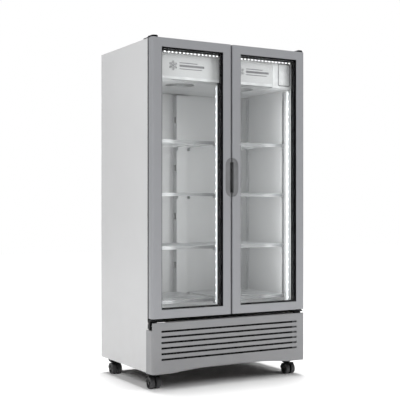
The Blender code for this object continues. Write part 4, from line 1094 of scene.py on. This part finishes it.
def make_fork(corner, sign, depth):
    """A swivel head on a ball race, a web down to the axle, and a fender over the wheels."""
    fork = bmesh.new()
    x = sign * CASTER_X
    head = (
        (0, 0.0670), (0.0200, 0.0670), (0.0290, 0.0740), (0.0345, 0.0800), (0.0320, 0.0828),
        (0.0355, 0.0850), (0.0355, 0.0905), (0.0335, 0.0930), (0, 0.0930),
    )
    add_lathe(fork, head, at(x, depth, 0), Z, 40)
    web = (
        (-0.027, 0.0760), (0.022, 0.0760), (0.018, 0.062), (-0.0075, 0.0350), (-0.0105, 0.0260),
        (-0.022, 0.0222), (-0.0335, 0.0260), (-0.0350, 0.0350), (-0.0350, 0.0600),
    )
    add_prism(fork, "yz", [(depth + d, z) for d, z in web], x - 0.0055, x + 0.0055)
    arc = [math.radians(58 + 10 * i) for i in range(13)]
    fender = [(0.0368, a) for a in arc] + [(0.0345, a) for a in reversed(arc)]
    axle = depth - WHEEL_TRAIL
    outline = [(axle - reach * math.cos(a), WHEEL_RADIUS + reach * math.sin(a)) for reach, a in fender]
    add_prism(fork, "yz", outline, x - 0.0320, x + 0.0320)
    add_rod(fork, at(x, depth, 0.0925), at(x, depth, 0.1035), 0.0054, 16)
    node = f"caster_fork_{corner}"
    make(f"caster_swivel_{corner}", fork, f"caster_{corner}", "plastic_black", 30, [node])


def make_caster_bolts():
    """Four bolts that hold each caster's plate to the chassis."""
    bolts = bmesh.new()
    for _, depth in CASTER_DEPTHS:
        for _, sign in SIDES:
            for dx in (-0.037, 0.037):
                for dy in (-0.037, 0.037):
                    place = at(sign * CASTER_X + dx, depth + dy, 0.0940)
                    add_screw(bolts, place, -Z, 0.0060, 0.0045)
    make("caster_bolts", bolts, "cabinet", "galvanised", look="steel")


for end, depth in CASTER_DEPTHS:
    for side, sign in SIDES:
        make_wheels(f"{end}_{side}", sign, depth)
        make_fork(f"{end}_{side}", sign, depth)
make_caster_bolts()

# ---------------- setting

WORLD_DIFFUSE, WORLD_GLOSSY, WORLD_SEEN = 0.05, 0.12, 1.0
BAY_WATTS = 0.95
WALL_WATTS = 0.9
HEADER_WATTS = 0.022
BAY_MIDDLE, BAY_TALL = 1.11, 1.28


def add_lamp(kind, name, direction, energy, place=(0, 0, 0)):
    """A lamp that doesn't show in glass or in polished surfaces."""
    data = bpy.data.lights.new(name, kind)
    data.energy = energy
    lamp = bpy.data.objects.new(name, data)
    lamp.location = place
    lamp.rotation_mode = "QUATERNION"
    lamp.rotation_quaternion = Vector(direction).to_track_quat("-Z", "Y")
    lamp.visible_glossy = False
    lamp.visible_transmission = False
    bpy.context.scene.collection.objects.link(lamp)
    return lamp


def add_area(name, place, target, size, energy):
    """A rectangular lamp, hidden from the camera."""
    lamp = add_lamp("AREA", name, Vector(target) - Vector(place), energy, place)
    lamp.visible_camera = False
    lamp.data.shape = "RECTANGLE"
    lamp.data.size, lamp.data.size_y = size


def make_world():
    """A white surround that lights softly and shows dim in polished surfaces."""
    world = bpy.data.worlds.new("studio")
    bpy.context.scene.world = world
    world.use_nodes = True
    tree = world.node_tree
    background = tree.nodes["Background"]
    background.inputs["Color"].default_value = (1, 1, 1, 1)
    path = tree.nodes.new("ShaderNodeLightPath")
    strength = WORLD_DIFFUSE
    for output, value in (
        ("Is Glossy Ray", WORLD_GLOSSY),
        ("Is Transmission Ray", WORLD_SEEN),
        ("Is Camera Ray", WORLD_SEEN),
    ):
        mix = tree.nodes.new("ShaderNodeMix")
        tree.links.new(path.outputs[output], mix.inputs["Factor"])
        if isinstance(strength, float):
            mix.inputs["A"].default_value = strength
        else:
            tree.links.new(strength, mix.inputs["A"])
        mix.inputs["B"].default_value = value
        strength = mix.outputs["Result"]
    tree.links.new(strength, background.inputs["Strength"])


def make_floor():
    """A plain white floor, wide enough to reach the horizon."""
    size = 14.0
    bm = bmesh.new()
    bmesh.ops.create_grid(bm, x_segments=1, y_segments=1, size=size)
    mesh = bpy.data.meshes.new("floor")
    bm.to_mesh(mesh)
    bm.free()
    floor = bpy.data.objects.new("floor", mesh)
    bpy.context.scene.collection.objects.link(floor)
    look = Look("floor", 0.75)
    look.shader.inputs["Specular IOR Level"].default_value = 0.0
    look.colour(look.blend(look.noise(3, 3.0), (0.97, 0.97, 0.97), (0.985, 0.985, 0.985)))
    mesh.materials.append(look.material)


def make_camera():
    """A level view from the front left, at about half the cabinet's height."""
    data = bpy.data.cameras.new("camera")
    data.lens = 79.5
    data.sensor_width = 36.0
    data.shift_y = 0.0187
    camera = bpy.data.objects.new("camera", data)
    camera.location = (-2.748, -4.797, 1.038)
    camera.rotation_euler = (math.radians(90), 0, math.radians(-29.694))
    bpy.context.scene.collection.objects.link(camera)
    bpy.context.scene.camera = camera


def light_bays():
    """Weak lamps inside the cabinet, which stand for what its light bars give off."""
    for sign in (-1, 1):
        bay = at(sign * 0.26, 0.070, BAY_MIDDLE)
        target = bay + 0.59 * DEPTH + 0.20 * X
        add_area(f"bay_lamp_{sign}", bay, target, (0.38, BAY_TALL), BAY_WATTS)
        wall = at(sign * 0.35, 0.080, BAY_MIDDLE)
        target = at(sign * WALL, 0.20, BAY_MIDDLE)
        add_area(f"wall_lamp_{sign}", wall, target, (0.08, BAY_TALL), WALL_WATTS)
        header = at(sign * 0.245, 0.052, 1.855)
        add_area(f"header_lamp_{sign}", header, header + DEPTH, (0.39, 0.15), HEADER_WATTS)


bpy.context.scene.view_settings.view_transform = "Standard"
make_world()
make_floor()
make_camera()
add_lamp("SUN", "overhead", (-0.05, -0.14, -1.0), 3.2).data.angle = math.radians(22)
add_area("key", (-4.4, -1.6, 3.9), (0, 0, 1.4), (2.4, 2.4), 160)
add_area("front", (3.3, -4.1, 3.6), (0, 0, 1.5), (2.4, 2.4), 150)
light_bays()
